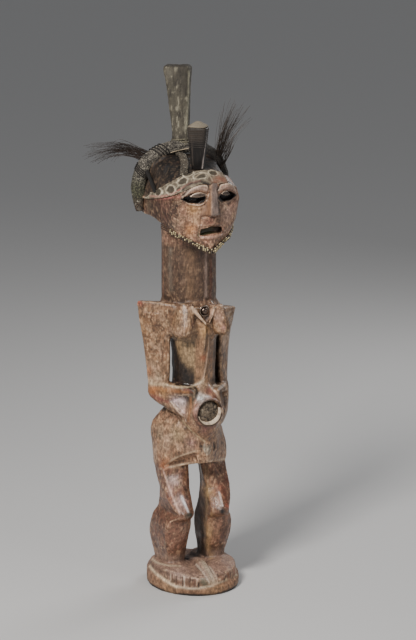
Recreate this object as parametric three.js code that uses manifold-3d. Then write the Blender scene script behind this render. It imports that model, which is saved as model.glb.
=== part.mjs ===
// Carved wooden power figure of a standing woman, with its headdress of horns, hide, hair and beads.
// Millimetres, +Z up. The figure faces -Y, its own right hand is on -X, and it stands on Z = 0.
import * as THREE from "three";
import { mergeVertices } from "three/addons/utils/BufferGeometryUtils.js";
import Module from "manifold-3d";

const wasm = await Module();
wasm.setup();

// Driving sizes
const TOTAL_HEIGHT = 797;
const BASE_HALF_WIDTH = 70;
const BASE_HALF_DEPTH = 80;
const BASE_CENTRE_Y = 3;
const BASE_FRONT_HEIGHT = 13.5;
const BASE_TOP_SLOPE = 0.1;
const FOOT_INSET = 4.5;
const LIMB_ROOT_HEIGHT = 8;
const NECK_RADIUS = 42;
const NECK_Y = 17;
const SHOULDER_HEIGHT = 440;
const SHOULDER_TILT = -0.14;
const TILT_START_HEIGHT = 380;
const LEFT_ELBOW_DROP = 11;
const LEFT_BROW_DROP = 5;
const CAVITY_RADIUS = 19;
const CAVITY_HEIGHT = 283;
const CAVITY_LIP_Y = -60;
const CAVITY_DEPTH = 30;
const CHARGE_SINK = 9;
const STUD_RADIUS = 8.8;
const STUD_PLACE = [0, -38, 437];
const HIDE_ROLL_RADIUS = 12.6;
const HORN_TURN = -0.68;
const HORN_SIDES = 16;
const SHORT_HORN_TOP = 714.5;
const BAND_THICKNESS = 2.6;
const BAND_COLUMNS_RIGHT = 8;
const BAND_COLUMNS_LEFT = 2;
const BEAD_BAND_RADIUS = 2.6;

// Fit between pieces that touch
const GAP = 0.3;
const GROWN = 0.4;

// Fineness of the facets
const BODY_SIDES = 24;
const LIMB_SIDES = 12;
const TURNED_SIDES = 18;
const BASE_SIDES = 36;
const ROLL_SIDES = 10;
const MERGE_DISTANCE = 1e-4;

const vec = (x, y, z) => new THREE.Vector3(x, y, z);
const mirrored = (points) => points.map(([x, ...rest]) => [-x, ...rest]);

// Solid from a closed three.js geometry
function toSolid(geometry) {
  const loose = geometry.index ? geometry.toNonIndexed() : geometry.clone();
  const bare = new THREE.BufferGeometry();
  bare.setAttribute("position", loose.getAttribute("position"));
  const merged = mergeVertices(bare, MERGE_DISTANCE);
  return new wasm.Manifold(
    new wasm.Mesh({
      numProp: 3,
      vertProperties: merged.attributes.position.array,
      triVerts: new Uint32Array(merged.index.array),
    }),
  );
}

function toGeometry(solid) {
  const mesh = solid.getMesh();
  const place = new Float32Array(mesh.numVert * 3);
  for (let i = 0; i < mesh.numVert; i++)
    for (let k = 0; k < 3; k++)
      place[i * 3 + k] = mesh.vertProperties[i * mesh.numProp + k];
  const geometry = new THREE.BufferGeometry();
  geometry.setAttribute("position", new THREE.BufferAttribute(place, 3));
  geometry.setIndex(new THREE.BufferAttribute(mesh.triVerts, 1));
  geometry.computeVertexNormals();
  return geometry;
}

const joined = (solids) => solids.reduce((all, next) => all.add(next));

// Largest body of a solid, without the splinters that a cut can leave
const mainBody = (solid) =>
  solid.decompose().reduce((most, next) => (next.volume() > most.volume() ? next : most));

// Closed skin over a row of rings that all have the same number of points
function loft(rings) {
  const count = rings[0].length;
  const points = rings.flat().map((p) => p.clone());
  const faces = [];
  for (let r = 0; r + 1 < rings.length; r++)
    for (let k = 0; k < count; k++) {
      const a = r * count + k;
      const b = r * count + ((k + 1) % count);
      faces.push(a, b, b + count, a, b + count, a + count);
    }
  const caps = [
    [0, 1],
    [(rings.length - 1) * count, 0],
  ];
  for (const [start, turned] of caps) {
    const middle = vec(0, 0, 0);
    for (let k = 0; k < count; k++) middle.addScaledVector(points[start + k], 1 / count);
    points.push(middle);
    for (let k = 0; k < count; k++) {
      const a = start + ((k + turned) % count);
      const b = start + ((k + 1 - turned) % count);
      faces.push(a, b, points.length - 1);
    }
  }
  let volume = 0;
  for (let f = 0; f < faces.length; f += 3) {
    const [a, b, c] = [points[faces[f]], points[faces[f + 1]], points[faces[f + 2]]];
    volume += a.dot(b.clone().cross(c));
  }
  if (volume < 0) faces.reverse();
  const geometry = new THREE.BufferGeometry().setFromPoints(points);
  geometry.setIndex(faces);
  return toSolid(geometry);
}

// Ring from a half outline, [x, y, z] from the front centre to the back centre, and its mirror image
function ringFromHalf(half, sides, tension = 0.22) {
  const other = mirrored(half.slice(1, -1)).reverse();
  return ringFromOutline([...half, ...other], sides, tension);
}

// Ring through corner points; a low tension leaves the flats and edges of knife work
function ringFromOutline(corners, sides, tension = 0.22) {
  const curve = new THREE.CatmullRomCurve3(
    corners.map(([x, y, z]) => vec(x, y, z)),
    true,
    "catmullrom",
    tension,
  );
  const ring = [];
  for (let k = 0; k < sides; k++) ring.push(curve.getPoint(k / sides));
  return ring;
}

// Rings in between, each point column following a smooth curve through the given rings
function filled(rings, steps) {
  const columns = rings[0].map((_, k) => {
    const column = rings.map((ring) => ring[k]);
    return new THREE.CatmullRomCurve3(column, false, "centripetal");
  });
  const made = [];
  for (let s = 0; s <= steps; s++) made.push(columns.map((c) => c.getPoint(s / steps)));
  return made;
}

const level = (z, plan) => plan.map(([x, y]) => [x, y, z]);

// Rings square to a path, with half sizes along its side and its upright direction
function ringsAlong(path, sizeAt, steps, sides, upright = vec(0, 0, 1), power = 1) {
  const rings = [];
  for (let s = 0; s <= steps; s++) {
    const t = s / steps;
    const centre = path.getPoint(t);
    const ahead = path.getTangent(t);
    const side = ahead.clone().cross(upright).normalize();
    const up = side.clone().cross(ahead).normalize();
    const [halfSide, halfUp] = sizeAt(t);
    const ring = [];
    for (let k = 0; k < sides; k++) {
      const angle = (2 * Math.PI * k) / sides;
      const c = Math.sign(Math.cos(angle)) * Math.abs(Math.cos(angle)) ** power;
      const n = Math.sign(Math.sin(angle)) * Math.abs(Math.sin(angle)) ** power;
      ring.push(
        centre.clone().addScaledVector(side, halfSide * c).addScaledVector(up, halfUp * n),
      );
    }
    rings.push(ring);
  }
  return rings;
}

const smoothPath = (points) =>
  new THREE.CatmullRomCurve3(points.map(([x, y, z]) => vec(x, y, z)), false, "centripetal");

// Base block: an oval disc, thinner at the toes
function baseOutline(inset) {
  const ring = [];
  for (let k = 0; k < BASE_SIDES; k++) {
    const angle = (2 * Math.PI * k) / BASE_SIDES;
    ring.push([
      (BASE_HALF_WIDTH - inset) * Math.sin(angle),
      BASE_CENTRE_Y - (BASE_HALF_DEPTH - inset) * Math.cos(angle),
    ]);
  }
  return ring;
}

const baseTop = (y) =>
  BASE_FRONT_HEIGHT + BASE_TOP_SLOPE * (y - BASE_CENTRE_Y + BASE_HALF_DEPTH);

function baseBlock() {
  const ringAt = (inset, zOf) => baseOutline(inset).map(([x, y]) => vec(x, y, zOf(y)));
  return loft([
    ringAt(2, () => 0),
    ringAt(0.4, () => 3),
    ringAt(0, (y) => baseTop(y) * 0.55),
    ringAt(0.6, (y) => baseTop(y) - 2.5),
    ringAt(3, (y) => baseTop(y)),
  ]);
}

// Foot: [y, inner x, outer x, top] from heel to toes, trimmed to the base's oval
function foot(side) {
  const stations = [
    [62, 20, 45, 30],
    [46, 15, 57, 37],
    [20, 12, 63, 40],
    [-6, 9, 65, 40],
    [-30, 7, 65, 37],
    [-52, 6, 63, 31],
    [-66, 6, 60, 27],
    [-82, 6, 57, 23],
  ];
  const rings = stations.map(([y, inner, outer, top]) => {
    const middle = (inner + outer) / 2;
    return [
      [inner, LIMB_ROOT_HEIGHT],
      [inner, top - 9],
      [inner + 4, top - 2.5],
      [middle - 4, top + 1.5],
      [middle + 6, top + 0.5],
      [outer - 6, top - 3.5],
      [outer, top - 10],
      [outer, LIMB_ROOT_HEIGHT],
    ].map(([x, z]) => vec(side * x, y, z));
  });
  const trim = loft([
    baseOutline(FOOT_INSET - 1).map(([x, y]) => vec(x, y, 5)),
    baseOutline(FOOT_INSET).map(([x, y]) => vec(x, y, 24)),
    baseOutline(FOOT_INSET + 5).map(([x, y]) => vec(x, y, 48)),
  ]);
  return loft(filled(rings, 7)).intersect(trim);
}

// Toe cuts fan out from the ankle to the oval rim
function toeCuts(side) {
  const ankle = vec(side * 33, -6, 0);
  const rim = [
    [17, -71],
    [28.5, -66],
    [39.5, -58],
    [49, -47],
  ];
  const cuts = rim.map(([x, y]) => {
    const end = vec(side * x, y, 0);
    const from = ankle.clone().lerp(end, 0.72);
    const to = ankle.clone().lerp(end, 1.14);
    const across = to.clone().sub(from).cross(vec(0, 0, 1)).normalize();
    const wedge = (at, half, top, bottom) => [
      at.clone().addScaledVector(across, half).setZ(top),
      at.clone().addScaledVector(across, -half).setZ(top),
      at.clone().setZ(bottom),
    ];
    return loft([wedge(from, 0.8, 36, 31), wedge(to, 4, 36, 13)]);
  });
  return joined(cuts);
}

// Web of wood left between the feet
function footWeb() {
  const stations = [
    [40, 16, 30],
    [10, 16, 36],
    [-24, 10, 44],
    [-46, 9, 35],
    [-70, 9, 21],
  ];
  const rings = stations.map(([y, half, top]) => [
    vec(-half, y, LIMB_ROOT_HEIGHT),
    vec(-half, y, top - 7),
    vec(-half * 0.5, y, top),
    vec(half * 0.5, y, top),
    vec(half, y, top - 7),
    vec(half, y, LIMB_ROOT_HEIGHT),
  ]);
  return loft(rings);
}

// Leg: six corners a level, front outer, front inner, inner, back inner, back, back outer
function leg(side) {
  const levels = [
    [214, [[50, -2], [28, -14], [10, -2], [16, 28], [32, 42], [52, 34]]],
    [187, [[53, -4], [28, -16], [10, -4], [20, 30], [34, 42], [52, 32]]],
    [170, [[53, -11], [30, -23], [12, -11], [19, 20], [32, 33], [51, 24]]],
    [152, [[54.5, -18], [31, -29], [14, -18], [16, 11], [30, 25], [50, 16]]],
    [131, [[49, -30], [30, -41], [14, -28], [15, 14], [30, 30], [50, 20]]],
    [121, [[41, -40], [31, -47], [15, -35], [14, 17], [30, 34], [49, 27]]],
    [116, [[44, -37], [32, -44], [15, -33], [14, 19], [30, 38], [50, 31]]],
    [109, [[52, -25], [32, -31], [15, -23], [14, 23], [30, 46], [52, 37]]],
    [95, [[56, -20], [34, -28], [15, -18], [14, 28], [30, 55], [55, 40]]],
    [80, [[55.5, -18], [34, -26], [16, -16], [15, 29], [30, 57], [56, 43]]],
    [62, [[52, -14], [33, -21], [17, -12], [16, 26], [30, 52], [54, 41]]],
    [45, [[48, -10], [32, -15], [18, -8], [17, 22], [30, 44], [51, 35]]],
    [24, [[48, -12], [32, -20], [17, -10], [16, 24], [30, 44], [51, 34]]],
  ];
  const rings = levels.map(([z, plan]) => {
    const corners = level(z, plan.map(([x, y]) => [side * x, y]));
    return ringFromOutline(corners, LIMB_SIDES, 0.2);
  });
  return loft(filled(rings, 17));
}

// Hips: a broad block whose lower edge rises to the middle
function hips() {
  const lowerEdge = [
    [0, -50, 203],
    [14, -40, 200],
    [30, -26, 195],
    [46, -11, 189],
    [53, -3, 186.5],
    [55, 18, 186],
    [51, 36, 187],
    [30, 51, 192],
    [0, 51, 198],
  ];
  const levels = [
    lowerEdge,
    level(207, [[0, -52], [14, -42], [30, -27], [47, -11], [55, -4], [56, 20], [52, 38], [30, 54], [0, 54]]),
    level(224, [[0, -51], [14, -42], [30, -27], [45, -11], [53, -3], [56, 20], [53, 39], [30, 56], [0, 56]]),
    level(240, [[0, -48], [14, -40], [28, -28], [42, -11], [49, 0], [55, 20], [55, 39], [30, 55], [0, 54]]),
    level(255, [[0, -42], [14, -37], [28, -27], [40, -11], [46, 3], [52, 20], [53, 37], [28, 52], [0, 50]]),
    level(266, [[0, -34], [12, -31], [24, -22], [35, -8], [41, 5], [46, 19], [45, 34], [25, 47], [0, 46]]),
    level(280, [[0, -26], [10, -24], [20, -18], [29, -6], [34, 6], [36, 18], [32, 30], [20, 41], [0, 43]]),
  ];
  const rings = levels.map((half) => ringFromHalf(half, BODY_SIDES, 0.18));
  return loft(filled(rings, 9));
}

// Hollow bevel under the front of each hip, deep on the right and faint on the left
function hipBevel(side, depth) {
  const stations = [
    [55, 1, 186, 3],
    [47, -10, 189, 9],
    [36, -20, 193, 14],
    [24, -31, 197, 17],
    [15, -39, 200, 18],
    [12, -42, 201, 4],
  ];
  const out = vec(0.66, -0.75, 0);
  const rings = stations.map(([x, y, low, tall]) => {
    const reach = Math.min(depth, tall * 0.6);
    const at = (move, z) => vec(side * (x + out.x * move), y + out.y * move, z);
    return [
      at(8, low - 12),
      at(8, low + tall + 4),
      at(-0.5, low + tall),
      at(-reach, low + tall * 0.45),
      at(-reach, low - 12),
    ];
  });
  return loft(rings);
}

// Waist column with its ridge down the front
function waist() {
  const levels = [
    level(252, [[0, -36], [14, -32], [31, -14], [39, 8], [33, 32], [15, 45], [0, 47]]),
    level(290, [[0, -34], [12, -30], [30, -15], [34, 6], [28, 29], [14, 40], [0, 42]]),
    level(330, [[0, -37], [9, -34], [29, -17.5], [32, 2], [27, 25], [13, 37], [0, 39]]),
    level(365, [[0, -37.5], [10, -34], [30, -18], [32, 0], [26, 24], [13, 38], [0, 40]]),
    level(392, [[0, -38], [11, -35], [31, -19], [34, 3], [29, 28], [15, 42], [0, 44]]),
    level(412, [[0, -38], [12, -36], [32, -22], [40, 4], [36, 34], [18, 48], [0, 50]]),
  ];
  const rings = levels.map((half) => ringFromHalf(half, BODY_SIDES - 4, 0.12));
  return loft(filled(rings, 7));
}

// Drop of the shoulder line at a place: it tilts down to the figure's left
const shoulderDrop = (x, z) =>
  (SHOULDER_TILT * x * Math.max(0, z - TILT_START_HEIGHT)) / (SHOULDER_HEIGHT - TILT_START_HEIGHT);

// Chest and squared shoulders, whose top falls a little to the back
function chest() {
  const levels = [
    [388, [[0, -36], [16, -32], [30, -14], [36, 6], [34, 26], [20, 42], [0, 46]]],
    [398, [[0, -37.5], [22, -33], [40, -14], [60, 12], [48, 34], [26, 50], [0, 52]]],
    [406, [[0, -38], [26, -36], [48, -12], [76, 23], [58, 41], [32, 54], [0, 56]]],
    [424, [[0, -37], [28, -39], [52, -12], [80.5, 24], [62, 43], [36, 57], [0, 58]]],
    [438, [[0, -36], [26, -40], [54, -10], [83, 25], [64, 43], [38, 57], [0, 58]]],
    [441, [[0, -33], [24, -37], [52, -8], [81.5, 25], [63, 41], [37, 54], [0, 55]]],
  ];
  const rings = levels.map(([z, plan]) => ringFromHalf(level(z, plan), BODY_SIDES, 0.1));
  const made = filled(rings, 7);
  const backDrop = 0.13;
  for (const p of made.flat()) {
    const upper = Math.max(0, p.z - 406) / 35;
    p.z += shoulderDrop(p.x, p.z) - backDrop * upper * Math.max(0, p.y + 10);
  }
  return loft(made);
}

// Sloping wood from the shoulders up to the neck, lower at the back
function neckFoot() {
  const levels = [
    level(426, [[0, -34], [30, -28], [56, 4], [58, 22], [44, 42], [26, 52], [0, 56]]),
    level(442, [[0, -29], [22, -25], [41, 2], [44, 20], [37, 40], [20, 54], [0, 58]]),
    level(450, [[0, -25], [18, -21], [38, 2], [41.5, 18], [35, 40], [18, 54], [0, 58.5]]),
  ];
  return loft(filled(levels.map((half) => ringFromHalf(half, BODY_SIDES, 0.2)), 3));
}

function neck() {
  const shape = [
    [0, 430],
    [NECK_RADIUS - 0.5, 430],
    [NECK_RADIUS, 470],
    [NECK_RADIUS - 0.6, 520],
    [NECK_RADIUS, 560],
    [NECK_RADIUS + 3, 592],
    [0, 592],
  ].map(([r, z]) => new THREE.Vector2(r, z));
  const geometry = new THREE.LatheGeometry(shape, BODY_SIDES);
  geometry.rotateX(Math.PI / 2);
  geometry.translate(0, NECK_Y, 0);
  return toSolid(geometry);
}

// Breast: a wedge that hangs from the shoulder line and ends in a blunt tip; the one
// at the figure's left is broader and nearer the middle
function breast(side) {
  const inwards = side > 0 ? 4 : 0;
  const broader = side > 0 ? 2.5 : 0;
  const stations = [
    [446, 27, -33, 9, 5],
    [436, 28, -36, 12, 9],
    [422, 30, -38, 14, 12],
    [409, 33, -40, 13.5, 13],
    [402, 34.5, -41, 10, 10],
    [398.5, 35, -41, 4, 4],
  ];
  const rings = stations.map(([z, outwards, y, narrow, halfDeep]) => {
    const x = outwards - inwards;
    const halfWide = narrow + broader;
    const corners = [
      [x - halfWide * 0.75, y - halfDeep * 0.55],
      [x + 1, y - halfDeep],
      [x + halfWide * 0.85, y - halfDeep * 0.1],
      [x + halfWide, y + halfDeep * 1.4],
      [x - halfWide, y + halfDeep * 1.4],
    ];
    const tilted = z + shoulderDrop(side * x, z) * 0.8;
    return ringFromOutline(level(tilted, corners.map(([a, b]) => [side * a, b])), LIMB_SIDES, 0.3);
  });
  return loft(filled(rings, 6));
}

// Raised bands that meet in a V and frame the sunk triangle of the stud
function chestBands() {
  const meeting = [0.5, -46.5, 418.5];
  const bands = [[-22, -11], [15.5, 9.5]].map(([topX, middleX]) => {
    const top = [topX, -38.5, 443 + SHOULDER_TILT * topX];
    const path = smoothPath([top, [middleX, -43.5, 431], meeting]);
    return loft(ringsAlong(path, () => [3.1, 3.6], 4, 8, vec(0, -1, 0), 0.7));
  });
  const keel = loft([
    [vec(-24, -30, 442), vec(0, -36, 440), vec(24, -30, 438), vec(0, -20, 440)],
    [vec(-14, -36, 424), vec(0, -43, 422), vec(14, -36, 424), vec(0, -20, 424)],
    [vec(-10, -34, 404), vec(0, -43, 402), vec(10, -34, 404), vec(0, -20, 404)],
    [vec(-6, -32, 372), vec(0, -38.5, 372), vec(6, -32, 372), vec(0, -20, 372)],
  ]);
  return joined([...bands, keel]);
}

function studPocket() {
  const corners = (y, grow) => [
    vec(-(21 + grow), y, 448),
    vec(15 + grow, y, 446),
    vec(2, y, 418 - grow),
  ];
  return loft([corners(-60, 4), corners(-37.4, -0.5)]);
}

// Arm: rings down the upper arm, four corners each, outer, front, inner, back
function upperArm(side) {
  const levels = [
    [424, [[81, 25], [56, -8], [46, 14], [62, 40]]],
    [410, [[79, 24], [50, -9], [43, 12], [60, 39]]],
    [392, [[75, 22.5], [45, -8.5], [41, 9], [58, 37]]],
    [365, [[71.5, 21], [45, -6.5], [39, 8], [56, 35]]],
    [335, [[68.5, 19], [45.5, -6.5], [39, 8], [54, 33]]],
    [312, [[67, 18], [48, -8], [40, 6], [53, 31]]],
    [300, [[64, 15], [50, -6], [43, 4], [53, 25]]],
  ];
  const leftIn = side > 0 ? 1.5 : 0;
  const rings = levels.map(([z, plan]) => {
    const slim = leftIn * Math.min(1, Math.max(0, (410 - z) / 30));
    const lower = side > 0 ? LEFT_ELBOW_DROP * Math.max(0, (365 - z) / 65) : 0;
    const tall = z + shoulderDrop(side * 66, z) - lower;
    const corners = level(tall, plan.map(([x, y]) => [side * (x - slim), y]));
    return ringFromOutline(corners, LIMB_SIDES, 0.42);
  });
  return loft(filled(rings, 6));
}

// Forearm and hand: a plate from the elbow round to the front of the belly
// [outer x, outer y, low, high, thickness]
function forearm(side) {
  const stations = [
    [67.5, 22, 303, 319, 9],
    [66.5, 16, 295, 323, 18],
    [59, 5, 286.5, 323.5, 23],
    [49.5, -8.5, 279, 323, 24],
    [38, -25, 272, 322, 24],
    [27, -40, 265, 321, 22],
    [22.5, -46.5, 263, 319, 15],
    [20.5, -48, 266, 316, 8],
  ];
  const inward = vec(-0.803, 0.597, 0);
  const leftSwell = [0, 0.5, 3, 5.5, 6.5, 4, 1, 0];
  const leftSag = [0, 2, 8, 11, 12, 8, 3, 0];
  const rings = stations.map(([x, y, lowest, highest, thick], index) => {
    const out = side > 0 ? leftSwell[index] : 0;
    const at = (share, z) =>
      vec(side * (x + out + inward.x * thick * share), y + inward.y * thick * share, z);
    const lower = side > 0 ? LEFT_ELBOW_DROP * Math.max(0, 1 - index / 9) : 0;
    const sag = side > 0 ? leftSag[index] : 0;
    const low = lowest - lower - sag;
    const high = highest - lower;
    const tall = high - low;
    return [
      at(0.12, low + tall * 0.1),
      at(0, low + tall * 0.25),
      at(0, high - tall * 0.2),
      at(0.1, high - tall * 0.05),
      at(0.3, high),
      at(0.8, high - 1),
      at(1, high - tall * 0.15),
      at(1, low + tall * 0.2),
      at(0.6, low),
      at(0.3, low + 1),
    ];
  });
  return loft(filled(rings, 8));
}

// Flat hollow carved in the back of each hand, between the thumb and the fingers
function handHollow(side) {
  const outward = vec(0.803, -0.597, 0);
  const spots = [
    [51, -7, 301],
    [27, -40, 309],
    [28, -39, 272],
  ];
  const middle = vec(0, 0, 0);
  for (const [x, y, z] of spots) middle.addScaledVector(vec(x, y, z), 1 / spots.length);
  const ring = (move, shrink) =>
    spots.map(([x, y, z]) => {
      const p = vec(x, y, z).lerp(middle, shrink).addScaledVector(outward, move);
      return p.setX(side * p.x);
    });
  return loft([ring(6, -0.25), ring(-4, 0.3)]);
}

// Belly with the lip of its round cavity: [height, half width, front, back]
function belly() {
  const levels = [
    [331, 5, -25, -16],
    [326, 13, -36, -6],
    [315, 21, -45, 0],
    [300, 27, -54, 4],
    [284, 29.5, -58.5, 6],
    [266, 28, -59, 6],
    [252, 22, -56, 4],
    [242, 12, -51.5, -10],
    [236, 4, -48, -20],
  ];
  const rings = levels.map(([z, half, front, back]) => {
    const deep = back - front;
    const outline = [
      [0, front],
      [half * 0.55, front + deep * 0.07],
      [half * 0.92, front + deep * 0.33],
      [half, front + deep * 0.7],
      [0, back],
    ];
    return ringFromHalf(level(z, outline), BODY_SIDES - 4, 0.4);
  });
  return loft(filled(rings, 8));
}

// Turned shape about an axis that runs towards the front: [radius, distance forward]
function turnedForward(shape, place, sides) {
  const geometry = new THREE.LatheGeometry(
    shape.map(([r, out]) => new THREE.Vector2(r, out)),
    sides,
  );
  geometry.rotateX(Math.PI);
  geometry.translate(...place);
  return toSolid(geometry);
}

function cavityLip() {
  const shape = [
    [0, -34],
    [24, -34],
    [24.5, -14],
    [23.5, -5],
    [21.5, -1.2],
    [19.5, 0],
    [0, 0],
  ];
  return turnedForward(shape, [0, CAVITY_LIP_Y, CAVITY_HEIGHT], BODY_SIDES);
}

function cavity() {
  const shape = [
    [0, -CAVITY_DEPTH],
    [CAVITY_RADIUS - 1.5, -CAVITY_DEPTH],
    [CAVITY_RADIUS - 0.5, -6],
    [CAVITY_RADIUS + 1.6, 1],
    [CAVITY_RADIUS + 1.6, 10],
    [0, 10],
  ];
  return turnedForward(shape, [0, CAVITY_LIP_Y, CAVITY_HEIGHT], BODY_SIDES);
}

// Head: the same columns run from the jaw up to the crown,
// each a half outline [x, y, z] from the front centre to the back centre
const HEAD_OUTLINES = [
  // lower edge of the jaw
  [
    [0, -65, 533.5], [14, -57.5, 539], [36, -48, 552], [54, -21, 564.5],
    [60, 18, 576], [62, 52, 577], [44, 73, 578], [0, 80, 578],
  ],
  // cheeks
  [
    [0, -64.5, 562], [18, -62.5, 563], [48, -46, 572], [57, -22, 580],
    [61, 16, 587], [62.5, 50, 588], [45, 75, 588], [0, 82, 588],
  ],
  // eyes
  [
    [0, -66, 605], [18, -63, 605], [54, -47.5, 606], [59, -24, 604],
    [62, 14, 600], [62.5, 47, 596], [46, 76, 596], [0, 84, 596],
  ],
  // lower edge of the brow
  [
    [0, -71, 632], [20, -73, 636], [46, -56, 622], [56, -30, 612],
    [62, 12, 604], [62.5, 45, 600], [46, 76, 600], [0, 84, 600],
  ],
  // upper edge of the brow
  [
    [0, -60.5, 652], [18, -58.5, 651.5], [36, -48, 645.5], [50.5, -27, 632],
    [60, 8, 614], [61, 41, 604.5], [45, 73, 606], [0, 81, 608],
  ],
  // crown, rising to the back until it meets the hide roll
  [
    [0, -50, 651], [17, -48, 650.5], [31, -39, 647], [43, -19, 640],
    [52, 10, 630], [55, 40, 625], [41, 67, 624], [0, 74, 625],
  ],
  [
    [0, -16, 652], [12, -14, 652.5], [26, -8, 653.5], [39, 6, 654],
    [47, 26, 652], [48, 44, 650], [32, 62, 646], [0, 66, 646],
  ],
  [
    [0, 20, 664], [7, 21, 664.5], [16, 24, 664.5], [27, 30, 663.5],
    [35, 38, 661], [33, 47, 659.5], [19, 54, 660], [0, 57, 660],
  ],
];
const BROW_LOW_INDEX = 3;
const BROW_TOP_INDEX = 4;

// The head's rings, grown sideways and upwards by a little for pieces that lie on it
function headRings(grow) {
  return HEAD_OUTLINES.map((points, index) => {
    const ring = ringFromHalf(points, BODY_SIDES, 0.3);
    const upper = index >= BROW_TOP_INDEX ? grow * 0.8 : 0;
    const lift = index === 0 ? -grow : upper;
    const atBrow = index === BROW_TOP_INDEX || index === BROW_TOP_INDEX + 1 ? LEFT_BROW_DROP : 0;
    for (const p of ring) {
      const toLeft = Math.min(1, Math.max(0, p.x / 18));
      const out = vec(p.x, p.y - 5, 0).normalize();
      p.addScaledVector(out, grow);
      p.z += lift - atBrow * toLeft;
    }
    return ring;
  });
}

const skull = (grow) => loft(headRings(grow));

// Nose: a long wedge with a flat front, from between the brows to a blunt lower end
// [height, half width at the face, half width in front, back, front]
function nose(grow = 0) {
  const stations = [
    [636, 5, 4.2, -68, -73.5],
    [622, 6.5, 4.8, -62, -74],
    [606, 10.5, 5.3, -60, -75.5],
    [593, 14.5, 5.8, -58, -76.5],
    [588, 15.5, 6, -58, -75.5],
    [586, 12, 4.5, -58, -70],
  ];
  const rings = stations.map(([z, half, flat, back, front], index) => {
    const tall = index === 0 ? z + grow : z;
    return [
      vec(-half - grow, back, tall),
      vec(-flat - grow, front - grow, tall),
      vec(flat + grow, front - grow, tall),
      vec(half + grow, back, tall),
      vec(0, back + 12, tall),
    ];
  });
  return loft(rings);
}

// Swelling between the nose and the mouth, and the lip below it
function muzzle() {
  const upper = new THREE.SphereGeometry(1, 12, 8);
  upper.scale(16, 4.4, 12);
  upper.translate(0, -62, 579);
  const lower = new THREE.SphereGeometry(1, 12, 6);
  lower.scale(18, 4.6, 4.4);
  lower.translate(0, -62.5, 553.8);
  return toSolid(upper).add(toSolid(lower));
}

function mouthCut() {
  const corners = (y, half, low, high) => [
    vec(-half, y, high - 1.5),
    vec(0, y, high + 0.8),
    vec(half, y, high - 1.5),
    vec(half, y, low),
    vec(-half, y, low),
  ];
  return loft([corners(-84, 20, 557.5, 570.5), corners(-52, 18, 559, 568.5)]);
}

// Socket under each brow, lid and slit
function eyeCuts(side) {
  const socketPath = smoothPath([
    [side * 10, -76, 624],
    [side * 20, -76.5, 631.5],
    [side * 34, -72, 629],
    [side * 46, -61, 617.5],
  ]);
  const socketSize = (t) => [4 + 1.5 * Math.sin(Math.PI * t), 4];
  const socket = loft(ringsAlong(socketPath, socketSize, 6, 8, vec(0, -1, 0)));
  const slit = [
    [10.5, 615],
    [20, 621.5],
    [34, 620.5],
    [45.5, 612.5],
    [34, 606.5],
    [20, 606],
  ];
  const centre = [28, 613];
  const faceY = (x) => -66 + (x * x) / 170;
  const ringAt = (move, grow) =>
    slit.map(([x, z]) => {
      const px = centre[0] + (x - centre[0]) * grow;
      return vec(side * px, faceY(px) + move, centre[1] + (z - centre[1]) * grow);
    });
  return socket.add(loft([ringAt(-16, 1.08), ringAt(1, 1), ringAt(9, 0.72)]));
}

function head() {
  const solid = skull(0).add(nose()).add(muzzle());
  return solid.subtract(mouthCut()).subtract(eyeCuts(-1)).subtract(eyeCuts(1));
}

// Groove down the back, from the neck to between the hips
function spineGroove() {
  const path = smoothPath([
    [0, 60, 432],
    [0, 50, 395],
    [0, 42.5, 350],
    [0, 45.5, 300],
    [0, 55, 262],
    [0, 58.5, 225],
    [0, 56, 186],
  ]);
  return loft(ringsAlong(path, (t) => [4.5 + 2 * t, 3.2], 9, 6, vec(0, 1, 0)));
}

function figure() {
  const body = joined([
    baseBlock(),
    foot(-1).subtract(toeCuts(-1)),
    foot(1).subtract(toeCuts(1)),
    footWeb(),
    leg(-1),
    leg(1),
    hips().subtract(hipBevel(-1, 6.5)).subtract(hipBevel(1, 2)),
    waist(),
    chest(),
    neckFoot(),
    upperArm(-1),
    upperArm(1),
    breast(-1),
    breast(1),
    chestBands(),
    belly(),
    cavityLip(),
    neck(),
    head(),
  ]);
  const arms = [-1, 1].map((side) => forearm(side).subtract(handHollow(side)));
  return joined([body, ...arms])
    .subtract(cavity())
    .subtract(studPocket())
    .subtract(spineGroove());
}

// Filling of the belly cavity, lumpy in front
function bellyCharge() {
  const radius = CAVITY_RADIUS - 2;
  const shape = [
    [0, -CAVITY_DEPTH + GAP],
    [radius - 0.4, -CAVITY_DEPTH + GAP],
    [radius - 0.1, -CHARGE_SINK - 2.6],
    [radius * 0.8, -CHARGE_SINK],
    [radius * 0.4, -CHARGE_SINK + 1.4],
    [0, -CHARGE_SINK + 1.8],
  ];
  return turnedForward(shape, [0, CAVITY_LIP_Y, CAVITY_HEIGHT], TURNED_SIDES);
}

// Domed metal stud with a ring pressed round it
function chestStud() {
  const shape = [
    [0, 0],
    [STUD_RADIUS, 0],
    [STUD_RADIUS, 1.4],
    [STUD_RADIUS * 0.86, 2.4],
    [STUD_RADIUS * 0.72, 1.9],
    [STUD_RADIUS * 0.6, 3.2],
    [STUD_RADIUS * 0.35, 5],
    [0, 5.8],
  ];
  return turnedForward(shape, STUD_PLACE, TURNED_SIDES);
}

// Hide roll that arches from one jaw corner over the crown to the other
const rollPath = smoothPath([
  [-62, 53, 580],
  [-65, 55, 600],
  [-65, 55.5, 620],
  [-60.5, 53.5, 640],
  [-50.5, 51, 656.5],
  [-33.5, 47, 668],
  [-14, 44, 674.5],
  [4, 42, 676],
  [22, 40, 673.5],
  [40, 38, 666.5],
  [55, 37, 653],
  [65, 39, 634],
  [68, 42, 612],
  [67, 46, 594],
  [65, 48, 581],
]);

// Half sizes of the roll: thinner to the figure's left and at both lower ends
function rollSize(t, grow) {
  const atEnds = Math.max(0, 1 - 8 * Math.min(t, 1 - t));
  const radius = HIDE_ROLL_RADIUS * (1 - 0.24 * t - 0.3 * atEnds);
  return [radius + grow, radius * 1.12 + grow];
}

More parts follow.
